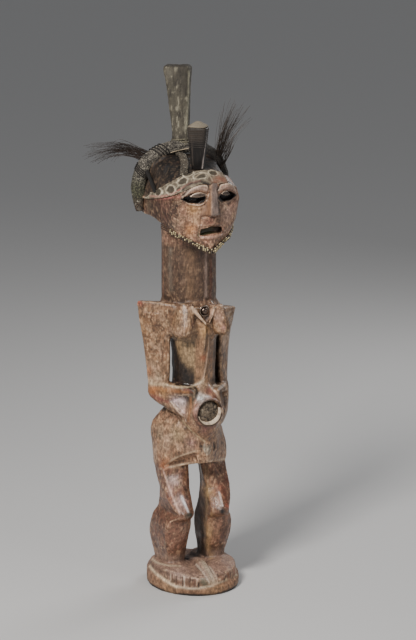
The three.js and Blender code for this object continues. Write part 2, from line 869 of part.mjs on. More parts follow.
// Stretch of the roll between two places on its path, from 0 to 1
function roll(grow, from = 0, to = 1, steps = 24) {
  const along = (t) => from + (to - from) * t;
  const part = {
    getPoint: (t) => rollPath.getPoint(along(t)),
    getTangent: (t) => rollPath.getTangent(along(t)),
  };
  return loft(ringsAlong(part, (t) => rollSize(along(t), grow), steps, ROLL_SIDES, vec(0, 1, 0)));
}

const hideRoll = () => roll(0).subtract(skull(2 * GROWN));

// Cord wound round the roll between two places on its path
function rollBinding(from, to) {
  const sleeve = roll(2, from, to, 5);
  return sleeve.subtract(roll(GAP, from - 0.03, to + 0.03, 9)).subtract(skull(GROWN));
}

// Strip of hide over the crown, from the roll down to the brow band
function crownStrip() {
  const path = smoothPath([
    [-8, 33, 665.5],
    [-10, 16, 663.5],
    [-18, -8, 655],
    [-28, -27, 650.5],
    [-35, -43, 647.5],
  ]);
  const strip = loft(ringsAlong(path, () => [6.5, 3.6], 9, 8, vec(0, 0, 1), 0.6));
  const bare = strip.subtract(skull(GROWN)).subtract(roll(GROWN));
  return bare.subtract(shortHornBody(GROWN)).subtract(browBandBody(GROWN));
}

// Flat strap at the right side, from the roll to the end of the brow band
function sideStrap() {
  const path = smoothPath([
    [-59, 43, 645],
    [-59.5, 33, 638],
    [-60, 20, 628],
    [-61, 3, 614.5],
  ]);
  const strap = loft(ringsAlong(path, () => [2.6, 2.4], 8, 6, vec(0, 1, 0), 0.7));
  return strap.subtract(skull(GROWN)).subtract(roll(2.6)).subtract(browBandBody(GROWN));
}

// Spotted skin laid over the brow, all the way round on the figure's right and
// ending soon on its left; one section for each of the head's columns
function browBandBody(grow) {
  const rings = headRings(0);
  const low = rings[BROW_LOW_INDEX];
  const top = rings[BROW_TOP_INDEX];
  const count = low.length;
  const order = [];
  for (let k = -BAND_COLUMNS_RIGHT; k <= BAND_COLUMNS_LEFT; k++) order.push((k + count) % count);
  const made = order.map((k) => {
    const out = vec(low[k].x, low[k].y - 5, 0).normalize();
    const slope = top[k].clone().sub(low[k]);
    const under = low[k].clone().addScaledVector(slope, 0.06);
    const over = top[k].clone().addScaledVector(slope, 0.05);
    const thick = BAND_THICKNESS + grow;
    const lift = vec(0, 0, 0.7 * thick);
    return [
      under.clone().addScaledVector(out, -4),
      under.clone().addScaledVector(out, thick),
      under.clone().lerp(over, 0.5).addScaledVector(out, thick + 0.5).addScaledVector(lift, 0.5),
      over.clone().addScaledVector(out, thick * 0.4).add(lift),
      over.clone().addScaledVector(out, -6),
    ];
  });
  return loft(made);
}

const browBand = () =>
  browBandBody(0).subtract(skull(GROWN)).subtract(roll(GROWN)).subtract(nose(GROWN));

// Horn with flat sides: [centre x, centre y, z, half width, half depth] from foot to mouth
function hornBody(stations, turn, grow, steps, power) {
  const side = vec(Math.cos(turn), Math.sin(turn), 0);
  const deep = vec(-Math.sin(turn), Math.cos(turn), 0);
  const rings = stations.map(([x, y, z, halfWide, halfDeep]) => {
    const ring = [];
    for (let k = 0; k < HORN_SIDES; k++) {
      const angle = (2 * Math.PI * (k + 0.5)) / HORN_SIDES;
      const c = Math.sign(Math.cos(angle)) * Math.abs(Math.cos(angle)) ** power;
      const n = Math.sign(Math.sin(angle)) * Math.abs(Math.sin(angle)) ** power;
      ring.push(
        vec(x, y, z)
          .addScaledVector(side, (halfWide + grow) * c)
          .addScaledVector(deep, (halfDeep + grow) * n),
      );
    }
    return ring;
  });
  return loft(filled(rings, steps));
}

// Tall horn under its own hide, wide end up
function tallHorn() {
  const stations = [
    [0.5, 45, 676, 14.5, 11],
    [0.5, 46.5, 694, 12.2, 9.8],
    [0.8, 49, 715, 14, 10.8],
    [1, 53, 745, 16.3, 12],
    [1.2, 57, 775, 19, 13.4],
    [1.4, 59, 790, 20.8, 14.2],
    [1.4, 59.5, 795, 20.4, 13.6],
    [1.4, 59.5, TOTAL_HEIGHT, 17.8, 11.1],
  ];
  return hornBody(stations, HORN_TURN, 0, 12, 0.45).subtract(roll(GROWN)).subtract(skull(GROWN));
}

// Short dark horn in front of the roll, open end up and filled
function shortHornBody(grow) {
  const stations = [
    [-6, -29, 642, 8.8, 8.8],
    [-6.2, -30, 660, 9.6, 9],
    [-6.8, -31, 682, 11.8, 10.6],
    [-7.3, -31.7, 700, 13.6, 11.8],
    [-7.5, -32, 711, 14.8, 12.6],
    [-7.5, -32, SHORT_HORN_TOP, 15.2, 13],
  ];
  return hornBody(stations, HORN_TURN, grow, 8, 0.4);
}

const shortHorn = () => shortHornBody(0).subtract(skull(GROWN));

// Pale packed top of the short horn
function hornPlug() {
  const stations = [
    [-7.5, -32, SHORT_HORN_TOP + GAP, 14.4, 12.2],
    [-7.5, -32, SHORT_HORN_TOP + 1.9, 14.8, 12.6],
    [-6.5, -31, SHORT_HORN_TOP + 4.1, 11, 9.4],
    [-5.5, -30, SHORT_HORN_TOP + 5.9, 4.8, 3.8],
  ];
  return hornBody(stations, HORN_TURN, 0, 4, 0.55);
}

// Bundle of hair, flat oval in section: [x, y, z, half side, half up]
function hairBundle(stations) {
  const path = smoothPath(stations.map(([x, y, z]) => [x, y, z]));
  const last = stations.length - 1;
  const size = (t) => {
    const at = Math.min(last - 1e-6, t * last);
    const low = Math.floor(at);
    const share = at - low;
    return [3, 4].map((k) => stations[low][k] * (1 - share) + stations[low + 1][k] * share);
  };
  return loft(ringsAlong(path, size, 8, 10, vec(0, 0, 1)));
}

const rightTuft = () =>
  hairBundle([
    [-48, 60, 661, 4, 5],
    [-68, 67, 673, 6, 9],
    [-92, 73, 675, 7, 13],
    [-114, 79, 673, 7, 14],
    [-136, 85, 669, 5, 11],
  ]).subtract(roll(2.6, 0.25, 0.45, 10));

const leftTuft = () =>
  hairBundle([
    [56, 32, 648, 4, 5],
    [61, 30, 671, 9, 7],
    [71, 26, 697, 12, 8],
    [83, 22, 720, 12, 8],
    [95, 18, 740, 8, 6],
  ])
    .subtract(roll(GROWN))
    .subtract(skull(GROWN));

// Strands of small beads tacked under the jaw
function jawBeads() {
  const near = [
    [-58, -9, 566.5],
    [-50, -29, 560],
    [-36, -48, 550.5],
    [-24, -54.5, 544],
    [-12, -61, 538],
    [0, -67.5, 533.5],
  ];
  const far = mirrored(near).reverse().slice(1);
  const path = smoothPath([...near, ...far]);
  const size = () => [BEAD_BAND_RADIUS, BEAD_BAND_RADIUS * 1.5];
  const band = loft(ringsAlong(path, size, 18, 8, vec(0, 0, 1), 0.8));
  return band.subtract(skull(GROWN)).subtract(muzzle());
}

const WOOD = { color: 0x7a5340, roughness: 0.5, metalness: 0 };
const HIDE = { color: 0x77706a, roughness: 0.85, metalness: 0 };
const SKIN = { color: 0xa79d8e, roughness: 0.7, metalness: 0 };
const HORN = { color: 0x2b2320, roughness: 0.35, metalness: 0 };
const CORD = { color: 0x2a2521, roughness: 0.9, metalness: 0 };
const HAIR = { color: 0x1d1713, roughness: 0.6, metalness: 0 };
const BEAD = { color: 0xc9bda0, roughness: 0.4, metalness: 0 };
const METAL = { color: 0x6b5a52, roughness: 0.35, metalness: 0.9 };
const CHARGE = { color: 0x5e554b, roughness: 1, metalness: 0 };
const CLAY = { color: 0xa99f90, roughness: 0.9, metalness: 0 };

const model = new THREE.Group();

function place(name, solid, finish) {
  const geometry = toGeometry(mainBody(solid));
  const mesh = new THREE.Mesh(geometry, new THREE.MeshStandardMaterial(finish));
  mesh.name = name;
  model.add(mesh);
}

place("carved_figure", figure(), WOOD);
place("belly_charge", bellyCharge(), CHARGE);
place("chest_stud", chestStud(), METAL);
place("hide_roll", hideRoll(), HIDE);
place("roll_binding_upper", rollBinding(0.3, 0.39), CORD);
place("roll_binding_lower", rollBinding(0.2, 0.235), CORD);
place("crown_strip", crownStrip(), HIDE);
place("side_strap", sideStrap(), CORD);
place("brow_band", browBand(), SKIN);
place("tall_horn", tallHorn(), HIDE);
place("short_horn", shortHorn(), HORN);
place("horn_plug", hornPlug(), CLAY);
place("hair_tuft_right", rightTuft(), HAIR);
place("hair_tuft_left", leftTuft(), HAIR);
place("jaw_beads", jawBeads(), BEAD);

export default model;
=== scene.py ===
"""Looks of a carved wooden power figure: fine carving and patina, hide, horns, hair, cord and beads.

Blender objects are in metres, +Z up, and the figure faces -Y. The working arrays here are in millimetres.
"""

import math

import bmesh
import bpy
import numpy as np
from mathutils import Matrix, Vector
from mathutils.bvhtree import BVHTree


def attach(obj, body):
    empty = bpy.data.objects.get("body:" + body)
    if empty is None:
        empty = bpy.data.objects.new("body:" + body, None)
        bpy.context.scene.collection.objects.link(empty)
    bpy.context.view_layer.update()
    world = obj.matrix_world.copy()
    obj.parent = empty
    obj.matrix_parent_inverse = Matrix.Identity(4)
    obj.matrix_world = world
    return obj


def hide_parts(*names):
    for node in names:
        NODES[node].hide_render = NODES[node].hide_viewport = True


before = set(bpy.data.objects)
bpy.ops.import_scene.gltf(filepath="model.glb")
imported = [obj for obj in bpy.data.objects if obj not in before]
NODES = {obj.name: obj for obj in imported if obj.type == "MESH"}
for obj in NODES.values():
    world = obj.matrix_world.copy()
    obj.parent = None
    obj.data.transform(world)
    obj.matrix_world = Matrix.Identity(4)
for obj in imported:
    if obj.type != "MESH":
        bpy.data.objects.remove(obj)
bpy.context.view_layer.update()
MM = 0.001
rng = np.random.default_rng(7)

# Camera: the photograph's angle, with the place of its picture axis in its 416 x 640 frame
AZIMUTH = math.radians(25)
PITCH = math.radians(12.4)
FOCAL = 2510.0
DISTANCE = 3811.0
TARGET_HEIGHT = 415.2
AXIS_X = 193.5
AXIS_Y = 320.0
FRAME_WIDTH = 416
FRAME_HEIGHT = 640
SENSOR = 36.0
CLIP_END = 100.0

AHEAD = np.array([-math.sin(AZIMUTH), -math.cos(AZIMUTH), 0.0])
TOWARDS = AHEAD * math.cos(PITCH) + [0, 0, math.sin(PITCH)]
RIGHT = np.array([math.cos(AZIMUTH), -math.sin(AZIMUTH), 0.0])
UP = np.cross(RIGHT, -TOWARDS)
EYE = np.array([0.0, 0.0, TARGET_HEIGHT]) + DISTANCE * TOWARDS

FLOOR_REACH = 40.0
FLOOR_COLOUR = (0.62, 0.61, 0.6, 1)
FLOOR_ROUGHNESS = 0.9

# Lights: name, place (right, ahead and up from the figure) and size in metres, watts, colour
LIGHTS = (
    ("key", (-0.75, 1.45, 1.75), (0.45, 0.6), 50, (1, 0.98, 0.95)),
    ("fill", (1.5, 1.4, 0.9), (0.6, 1.2), 4.5, (0.93, 0.96, 1)),
    ("back", (1.1, -1.3, 1.4), (0.8, 0.8), 14, (1, 1, 1)),
)
LIGHT_AIM = Vector((0, 0, 0.4))
SKY_COLOUR = (0.8, 0.82, 0.85, 1)
SKY_STRENGTH = 0.26


def add_camera():
    """Camera at the photograph's angle."""
    data = bpy.data.cameras.new("photo_camera")
    data.sensor_width = SENSOR
    data.lens = SENSOR * FOCAL / FRAME_HEIGHT
    data.shift_x = (FRAME_WIDTH / 2 - AXIS_X) / FRAME_HEIGHT
    data.clip_end = CLIP_END
    camera = bpy.data.objects.new("photo_camera", data)
    camera.location = Vector(EYE * MM)
    camera.rotation_euler = Vector(-TOWARDS).to_track_quat("-Z", "Y").to_euler()
    bpy.context.collection.objects.link(camera)
    bpy.context.scene.camera = camera


def add_floor():
    """Wide pale floor, which is part of the stage and not of the figure."""
    far = FLOOR_REACH
    mesh = bpy.data.meshes.new("floor")
    mesh.from_pydata([(-far, -far, 0), (far, -far, 0), (far, far, 0), (-far, far, 0)], [], [(0, 1, 2, 3)])
    floor = bpy.data.objects.new("floor", mesh)
    bpy.context.collection.objects.link(floor)
    made = bpy.data.materials.new("pale_floor")
    made.use_nodes = True
    shader = made.node_tree.nodes["Principled BSDF"]
    shader.inputs["Base Color"].default_value = FLOOR_COLOUR
    shader.inputs["Roughness"].default_value = FLOOR_ROUGHNESS
    mesh.materials.append(made)


def add_light(name, place, size, power, colour):
    """One oblong light aimed at the figure."""
    data = bpy.data.lights.new(name, "AREA")
    data.shape = "RECTANGLE"
    data.size, data.size_y = size
    data.energy = power
    data.color = colour
    right, ahead, height = place
    light = bpy.data.objects.new(name, data)
    light.location = RIGHT * right + AHEAD * ahead + [0, 0, height]
    light.rotation_euler = (LIGHT_AIM - light.location).to_track_quat("-Z", "Y").to_euler()
    bpy.context.collection.objects.link(light)


def add_lights():
    """The lights and an even pale sky."""
    for light in LIGHTS:
        add_light(*light)
    world = bpy.data.worlds.new("studio")
    bpy.context.scene.world = world
    world.use_nodes = True
    sky = world.node_tree.nodes["Background"]
    sky.inputs["Color"].default_value = SKY_COLOUR
    sky.inputs["Strength"].default_value = SKY_STRENGTH


def linear(red, green, blue):
    """Linear colour from usual 0 to 255 values."""
    c = np.array([red, green, blue]) / 255.0
    return np.where(c <= 0.04045, c / 12.92, ((c + 0.055) / 1.055) ** 2.4)


# Noise at points

SEED_SHIFT = 17.31
HASH_STEPS = (374761393, 668265263, 1274126177)
HASH_SEED_STEP = 974634777
HASH_ROUNDS = ((13, 1103515245), (16, 668265263))
HASH_LAST_SHIFT = 15
HASH_MOST = 0xFFFF


def scatter(cell, seed):
    """A number from 0 to 1 for each whole-numbered cell."""
    h = sum(cell[:, k] * step for k, step in enumerate(HASH_STEPS)) + seed * HASH_SEED_STEP
    for shift, factor in HASH_ROUNDS:
        h = (h ^ (h >> shift)) * factor
    return ((h ^ (h >> HASH_LAST_SHIFT)) & HASH_MOST) / HASH_MOST


def lumps(p, size, seed=0):
    """Smooth noise from -1 to 1, in lumps of about the given size (a number or one for each axis)."""
    q = p / np.asarray(size, float) + seed * SEED_SHIFT
    cell = np.floor(q).astype(np.int64)
    f = q - cell
    f = f * f * (3 - 2 * f)
    total = np.zeros(len(p))
    for corner in range(8):
        step = np.array([corner & 1, corner >> 1 & 1, corner >> 2 & 1])
        total += np.prod(np.where(step, f, 1 - f), axis=1) * (2 * scatter(cell + step, seed) - 1)
    return total


def rough(p, size, seed=0, rounds=3):
    """Noise of several sizes, each half of the one before; every use has a seed of its own."""
    total = np.zeros(len(p))
    share = 0.5
    for k in range(rounds):
        total += share * lumps(p, np.asarray(size, float) / 2**k, seed + k)
        share *= 0.5
    return total


def cells(p, size, seed=0):
    """Distances to the nearest and second nearest of scattered points, one to a cell of that size."""
    q = p / np.asarray(size, float)
    base = np.floor(q).astype(np.int64)
    first = np.full(len(p), np.inf)
    second = np.full(len(p), np.inf)
    for code in range(27):
        cell = base + np.array([code % 3 - 1, code // 3 % 3 - 1, code // 9 - 1])
        jitter = np.stack([scatter(cell, seed + k) for k in range(3)], axis=1)
        away = np.linalg.norm(cell + jitter - q, axis=1)
        closer = away < first
        second = np.where(closer, first, np.minimum(second, away))
        first = np.where(closer, away, first)
    return first, second


def smooth_step(low, high, value):
    """0 at low and 1 at high, with a soft start and end; low may be the larger of the two."""
    t = np.clip((value - low) / (high - low), 0, 1)
    return t * t * (3 - 2 * t)


def between(value, low, full, still_full, high):
    """1 from full to still_full, easing off to 0 at low and at high."""
    return smooth_step(low, full, value) * smooth_step(high, still_full, value)


def bell(away, width):
    """1 where the distance is 0, falling off to almost 0 at twice the width."""
    return np.exp(-((away / width) ** 2))


# Meshes as arrays


class Skin:
    """A mesh's points in millimetres, with its edges, for carving and painting."""

    def __init__(self, obj):
        self.obj = obj
        self.mesh = obj.data
        count = len(self.mesh.vertices)
        flat = np.empty(count * 3)
        self.mesh.vertices.foreach_get("co", flat)
        self.p = flat.reshape(-1, 3) / MM
        ends = np.empty(len(self.mesh.edges) * 2, dtype=np.int32)
        self.mesh.edges.foreach_get("vertices", ends)
        self.ends = ends.reshape(-1, 2)
        both = np.concatenate([self.ends[:, 0], self.ends[:, 1]])
        self.degree = np.maximum(np.bincount(both, minlength=count), 1)
        self.tint = None
        self.gloss = np.zeros(count)

    def store(self):
        self.mesh.vertices.foreach_set("co", (self.p * MM).ravel())
        self.mesh.update()

    def normals(self):
        self.store()
        flat = np.empty(len(self.p) * 3)
        self.mesh.vertex_normals.foreach_get("vector", flat)
        return flat.reshape(-1, 3)

    def averaged(self, values, rounds=1, share=0.6):
        """Values eased towards the mean of their neighbours."""
        a, b = self.ends[:, 0], self.ends[:, 1]
        count = len(self.p)
        out = values.reshape(count, -1).astype(float)
        for _ in range(rounds):
            sums = [np.bincount(a, row[b], count) + np.bincount(b, row[a], count) for row in out.T]
            out = out + (np.stack(sums, axis=1) / self.degree[:, None] - out) * share
        return out.reshape(values.shape)

    def smooth(self, rounds, share=0.6):
        self.p = self.averaged(self.p, rounds, share)

    def bulge(self, rounds):
        """How far each point stands out of the smoothed surface, in millimetres."""
        soft = self.averaged(self.p, rounds)
        return np.einsum("ij,ij->i", self.p - soft, self.normals())

    def push(self, amount):
        self.p = self.p + self.normals() * np.asarray(amount)[:, None]

    def mix(self, colour, share):
        """Paints a colour of 0 to 255 values over, with a share from 0 to 1 for each point."""
        share = np.clip(share, 0, 1)[:, None]
        self.tint = self.tint * (1 - share) + linear(*colour) * share

    def scale(self, factor):
        self.tint = self.tint * np.asarray(factor)[:, None]

    def finish(self):
        """Writes the points and the painted attributes to the mesh."""
        self.store()
        colour = np.ones((len(self.p), 4))
        colour[:, :3] = np.clip(self.tint, 0, 1)
        made = self.mesh.color_attributes.new("tint", "FLOAT_COLOR", "POINT")
        made.data.foreach_set("color", colour.ravel())
        wear = self.mesh.attributes.new("gloss", "FLOAT", "POINT")
        wear.data.foreach_set("value", np.clip(self.gloss, 0, 1))

    def tree(self):
        polygons = [tuple(face.vertices) for face in self.mesh.polygons]
        return BVHTree.FromPolygons([tuple(v) for v in self.p], polygons)


def ring_faces(rows, size, start=0):
    """Faces of a closed tube whose rows of points follow each other, with a cap at each end."""
    faces = []
    for k in range(rows - 1):
        for s in range(size):
            a = start + k * size + s
            b = start + k * size + (s + 1) % size
            faces.append((a, b, b + size, a + size))
    faces.append(tuple(start + s for s in reversed(range(size))))
    faces.append(tuple(start + (rows - 1) * size + s for s in range(size)))
    return faces


def add_mesh(name, points, faces):
    """New object from points in millimetres."""
    mesh = bpy.data.meshes.new(name)
    mesh.from_pydata([tuple(v) for v in np.asarray(points) * MM], [], [tuple(f) for f in faces])
    mesh.update()
    mesh.shade_smooth()
    obj = bpy.data.objects.new(name, mesh)
    bpy.context.collection.objects.link(obj)
    return obj


WELD_DISTANCE = 0.02


def nearest_on(source, places):
    """Nearest places on a CAD piece, all in millimetres."""
    corners = [source.matrix_world @ v.co / MM for v in source.data.vertices]
    tree = BVHTree.FromPolygons(corners, [tuple(f.vertices) for f in source.data.polygons])
    return np.array([tuple(tree.find_nearest(place)[0]) for place in places.tolist()])


def refined(name, node, voxel, rounds, keep=0.0):
    """A finer copy of a CAD node: a voxel remesh, smoothed and then drawn back to the CAD's facets."""
    source = NODES[node]
    bm = bmesh.new()
    bm.from_mesh(source.data)
    bm.transform(source.matrix_world)
    bmesh.ops.remove_doubles(bm, verts=bm.verts, dist=WELD_DISTANCE * MM)
    mesh = bpy.data.meshes.new(name)
    bm.to_mesh(mesh)
    bm.free()
    rough_copy = bpy.data.objects.new(name + "_rough", mesh)
    bpy.context.collection.objects.link(rough_copy)
    remesh = rough_copy.modifiers.new("fine", "REMESH")
    remesh.mode = "VOXEL"
    remesh.voxel_size = voxel * MM
    graph = bpy.context.evaluated_depsgraph_get()
    made = bpy.data.meshes.new_from_object(rough_copy.evaluated_get(graph))
    bpy.data.objects.remove(rough_copy)
    made.name = name
    made.shade_smooth()
    made.materials.clear()
    obj = bpy.data.objects.new(name, made)
    bpy.context.collection.objects.link(obj)
    skin = Skin(obj)
    skin.smooth(rounds)
    skin.p += (nearest_on(source, skin.p) - skin.p) * keep
    return skin


def subdivided(obj, inside):
    """Splits each face whose centre, in millimetres, is inside."""
    bm = bmesh.new()
    bm.from_mesh(obj.data)
    edges = {e for f in bm.faces if inside(f.calc_center_median() / MM) for e in f.edges}
    bmesh.ops.subdivide_edges(bm, edges=list(edges), cuts=1, use_grid_fill=True)
    bm.to_mesh(obj.data)
    bm.free()
    obj.data.shade_smooth()
    return Skin(obj)


def to_line(p, line):
    """For each point, its distance from a line through places, and its share of the way along."""
    line = np.asarray(line, float)
    best = np.full(len(p), np.inf)
    along = np.zeros(len(p))
    pieces = np.linalg.norm(np.diff(line, axis=0), axis=1)
    before = np.concatenate([[0], np.cumsum(pieces)])
    for k, length in enumerate(pieces):
        way = (line[k + 1] - line[k]) / length
        t = np.clip((p - line[k]) @ way, 0, length)
        away = np.linalg.norm(p - line[k] - t[:, None] * way, axis=1)
        closer = away < best
        best = np.where(closer, away, best)
        along = np.where(closer, (before[k] + t) / before[-1], along)
    return best, along


def curve_through(points, steps):
    """Smooth path through places, with that many steps between each pair."""
    p = np.asarray(points, float)
    padded = np.concatenate([[2 * p[0] - p[1]], p, [2 * p[-1] - p[-2]]])
    out = []
    for a, b, c, d in zip(padded, padded[1:], padded[2:], padded[3:]):
        for s in range(steps):
            t = s / steps
            square = (2 * a - 5 * b + 4 * c - d) * t**2
            cube = (3 * b - a - 3 * c + d) * t**3
            out.append(0.5 * (2 * b + (c - a) * t + square + cube))
    out.append(p[-1])
    return np.array(out)


# Directions that a tube's cross sections lean on: the second is for tubes that start almost upright
TUBE_LEAN = np.array([0.31, 0.17, 0.93])
UPRIGHT_LEAN = np.array([0.9, 0.3, 0.1])
ALMOST_UPRIGHT = 0.8


def tubes(name, paths, radii, sides):
    """Closed tubes along paths; the radii are one number or one for each point of each path."""
    points, faces = [], []
    for path, radius in zip(paths, radii):
        path = np.asarray(path, float)
        ahead = np.gradient(path, axis=0)
        ahead /= np.linalg.norm(ahead, axis=1)[:, None]
        side = np.cross(ahead, TUBE_LEAN if abs(ahead[0, 2]) < ALMOST_UPRIGHT else UPRIGHT_LEAN)
        side /= np.linalg.norm(side, axis=1)[:, None]
        up = np.cross(side, ahead)
        radius = np.broadcast_to(radius, len(path))
        faces += ring_faces(len(path), sides, len(points))
        for k in range(len(path)):
            for s in range(sides):
                angle = 2 * math.pi * s / sides
                points.append(path[k] + (side[k] * math.cos(angle) + up[k] * math.sin(angle)) * radius[k])
    return add_mesh(name, points, faces)


# Materials


class Finish:
    """A node material whose colour starts from the painted attribute of a piece."""

    def __init__(self, name, roughness=0.6, gloss_roughness=0.3, metallic=0.0, specular=0.5):
        self.made = bpy.data.materials.new(name)
        self.made.use_nodes = True
        self.tree = self.made.node_tree
        self.shader = self.tree.nodes["Principled BSDF"]
        self.shader.inputs["Metallic"].default_value = metallic
        self.shader.inputs["Specular IOR Level"].default_value = specular
        self.place = self.tree.nodes.new("ShaderNodeTexCoord").outputs["Object"]
        tint = self.tree.nodes.new("ShaderNodeAttribute")
        tint.attribute_name = "tint"
        self.colour = tint.outputs["Color"]
        gloss = self.tree.nodes.new("ShaderNodeAttribute")
        gloss.attribute_name = "gloss"
        self.smoothness = self.ranged(gloss.outputs["Fac"], 0, 1, roughness, gloss_roughness)
        self.height = None

    def link(self, start, end):
        self.tree.links.new(start, end)

    def spread(self, stretch):
        """Object coordinates in millimetres, divided by the stretch for each axis."""
        mapping = self.tree.nodes.new("ShaderNodeMapping")
        self.link(self.place, mapping.inputs["Vector"])
        mapping.inputs["Scale"].default_value = [1 / MM / s for s in stretch]
        return mapping.outputs["Vector"]

    def noise(self, stretch, detail=4.0, roughness=0.6):
        node = self.tree.nodes.new("ShaderNodeTexNoise")
        self.link(self.spread(stretch), node.inputs["Vector"])
        node.inputs["Scale"].default_value = 1.0
        node.inputs["Detail"].default_value = detail
        node.inputs["Roughness"].default_value = roughness
        return node.outputs["Fac"]

    def scales(self, stretch, feature="DISTANCE_TO_EDGE"):
        node = self.tree.nodes.new("ShaderNodeTexVoronoi")
        node.feature = feature
        self.link(self.spread(stretch), node.inputs["Vector"])
        node.inputs["Scale"].default_value = 1.0
        return node.outputs["Distance"]

    def ranged(self, value, low, high, to_low, to_high):
        node = self.tree.nodes.new("ShaderNodeMapRange")
        self.link(value, node.inputs["Value"])
        for key, number in zip(["From Min", "From Max", "To Min", "To Max"], [low, high, to_low, to_high]):
            node.inputs[key].default_value = number
        return node.outputs["Result"]

    def shade(self, value, low, high, dark, light):
        """Multiplies the colour by a number that goes from dark to light with the value."""
        node = self.tree.nodes.new("ShaderNodeVectorMath")
        node.operation = "SCALE"
        self.link(self.colour, node.inputs[0])
        self.link(self.ranged(value, low, high, dark, light), node.inputs["Scale"])
        self.colour = node.outputs["Vector"]

    def cover(self, value, low, high, colour, most=1.0):
        """Lays a colour over where the value is high."""
        node = self.tree.nodes.new("ShaderNodeMix")
        node.data_type = "RGBA"
        self.link(self.ranged(value, low, high, 0, most), node.inputs["Factor"])
        self.link(self.colour, node.inputs["A"])
        node.inputs["B"].default_value = (*colour, 1)
        self.colour = node.outputs["Result"]

    def raise_by(self, value, amount):
        """Adds a value, times an amount in millimetres, to the bump height."""
        node = self.tree.nodes.new("ShaderNodeMath")
        node.operation = "MULTIPLY"
        self.link(value, node.inputs[0])
        node.inputs[1].default_value = amount
        if self.height is None:
            self.height = node.outputs[0]
            return
        both = self.tree.nodes.new("ShaderNodeMath")
        both.operation = "ADD"
        self.link(self.height, both.inputs[0])
        self.link(node.outputs[0], both.inputs[1])
        self.height = both.outputs[0]

    def roughen(self, value, amount):
        node = self.tree.nodes.new("ShaderNodeMath")
        node.operation = "MULTIPLY_ADD"
        self.link(value, node.inputs[0])
        node.inputs[1].default_value = amount
        self.link(self.smoothness, node.inputs[2])
        self.smoothness = node.outputs[0]

    def done(self):
        self.link(self.colour, self.shader.inputs["Base Color"])
        self.link(self.smoothness, self.shader.inputs["Roughness"])
        if self.height is not None:
            bump = self.tree.nodes.new("ShaderNodeBump")
            bump.inputs["Distance"].default_value = MM
            bump.inputs["Strength"].default_value = 1.0
            self.link(self.height, bump.inputs["Height"])
            self.link(bump.outputs["Normal"], self.shader.inputs["Normal"])
        return self.made


def wood_finish():
    """Worn wood with fine upright grain."""
    f = Finish("carved_wood", roughness=0.55, gloss_roughness=0.14)
    streak = f.noise((2.2, 2.2, 11), detail=5)
    patch = f.noise((5, 5, 9), detail=6, roughness=0.65)
    speck = f.noise((1.2, 1.2, 2), detail=3)
    f.shade(streak, 0.35, 0.65, 0.7, 1.25)
    f.shade(patch, 0.35, 0.65, 0.82, 1.16)
    f.shade(speck, 0.35, 0.65, 0.84, 1.16)
    f.raise_by(streak, 0.35)
    f.raise_by(patch, 0.45)
    f.raise_by(speck, 0.2)
    f.roughen(speck, 0.12)
    return f.done()


def hide_finish():
    """Dry hide with dark-edged scales."""
    f = Finish("scaly_hide", roughness=0.85, gloss_roughness=0.5)
    edge = f.scales((2.1, 2.1, 2.1))
    speck = f.noise((0.9, 0.9, 0.9), detail=3)
    f.shade(edge, 0.02, 0.3, 0.22, 1.3)
    f.shade(speck, 0.35, 0.65, 0.65, 1.35)
    f.raise_by(edge, 1.2)
    f.raise_by(speck, 0.5)
    return f.done()


def horn_cover_finish():
    """Streaky dusty hide with pale patches."""
    f = Finish("dusty_hide_cover", roughness=0.8, gloss_roughness=0.4)
    speck = f.noise((1.2, 1.2, 1.5), detail=5, roughness=0.75)
    streak = f.noise((1.8, 1.8, 16), detail=4)
    f.shade(streak, 0.3, 0.7, 0.75, 1.2)
    f.shade(speck, 0.3, 0.7, 0.6, 1.35)
    f.cover(f.noise((1.4, 1.4, 1.7), detail=6, roughness=0.8), 0.6, 0.72, linear(180, 172, 148), 0.35)
    f.raise_by(speck, 0.9)
    f.raise_by(streak, 0.5)
    return f.done()


def plain_finish(name, roughness, gloss_roughness, size, contrast, height, metallic=0.0):
    """Finish with one fine noise, which changes the colour and the height."""
    f = Finish(name, roughness, gloss_roughness, metallic)
    speck = f.noise((size, size, size), detail=5, roughness=0.7)
    f.shade(speck, 0.3, 0.7, 1 - contrast, 1 + contrast)
    f.raise_by(speck, height)
    return f.done()


def settle(obj, material, nodes):
    """Gives a piece its material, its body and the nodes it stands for."""
    obj.data.materials.clear()
    obj.data.materials.append(material)
    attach(obj, "root")
    if nodes:
        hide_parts(*nodes)


def one_tint(skin_or_obj, colour, spread=0.0, gloss=0.0):
    """Plain starting colour for a piece, with a little variation from place to place."""
    skin = skin_or_obj if isinstance(skin_or_obj, Skin) else Skin(skin_or_obj)
    skin.tint = np.tile(linear(*colour), (len(skin.p), 1))
    if spread:
        skin.scale(1 + spread * rough(skin.p, 9, 5))
    skin.gloss = np.full(len(skin.p), gloss)
    return skin


def seen(tree, u, v):
    """Place on a surface, in millimetres, under a pixel of the photograph."""
    way = -TOWARDS + RIGHT * (u - AXIS_X) / FOCAL + UP * (AXIS_Y - v) / FOCAL
    way /= np.linalg.norm(way)
    hit = tree.ray_cast(Vector(EYE), Vector(way))[0]
    if hit is None:
        depth = DISTANCE / np.dot(way, -TOWARDS)
        hit = tree.find_nearest(Vector(EYE + way * depth))[0]
    return np.array(hit)


def seen_line(tree, pixels):
    """Places on a surface under several pixels."""
    return [seen(tree, u, v) for u, v in pixels]


# The carved figure

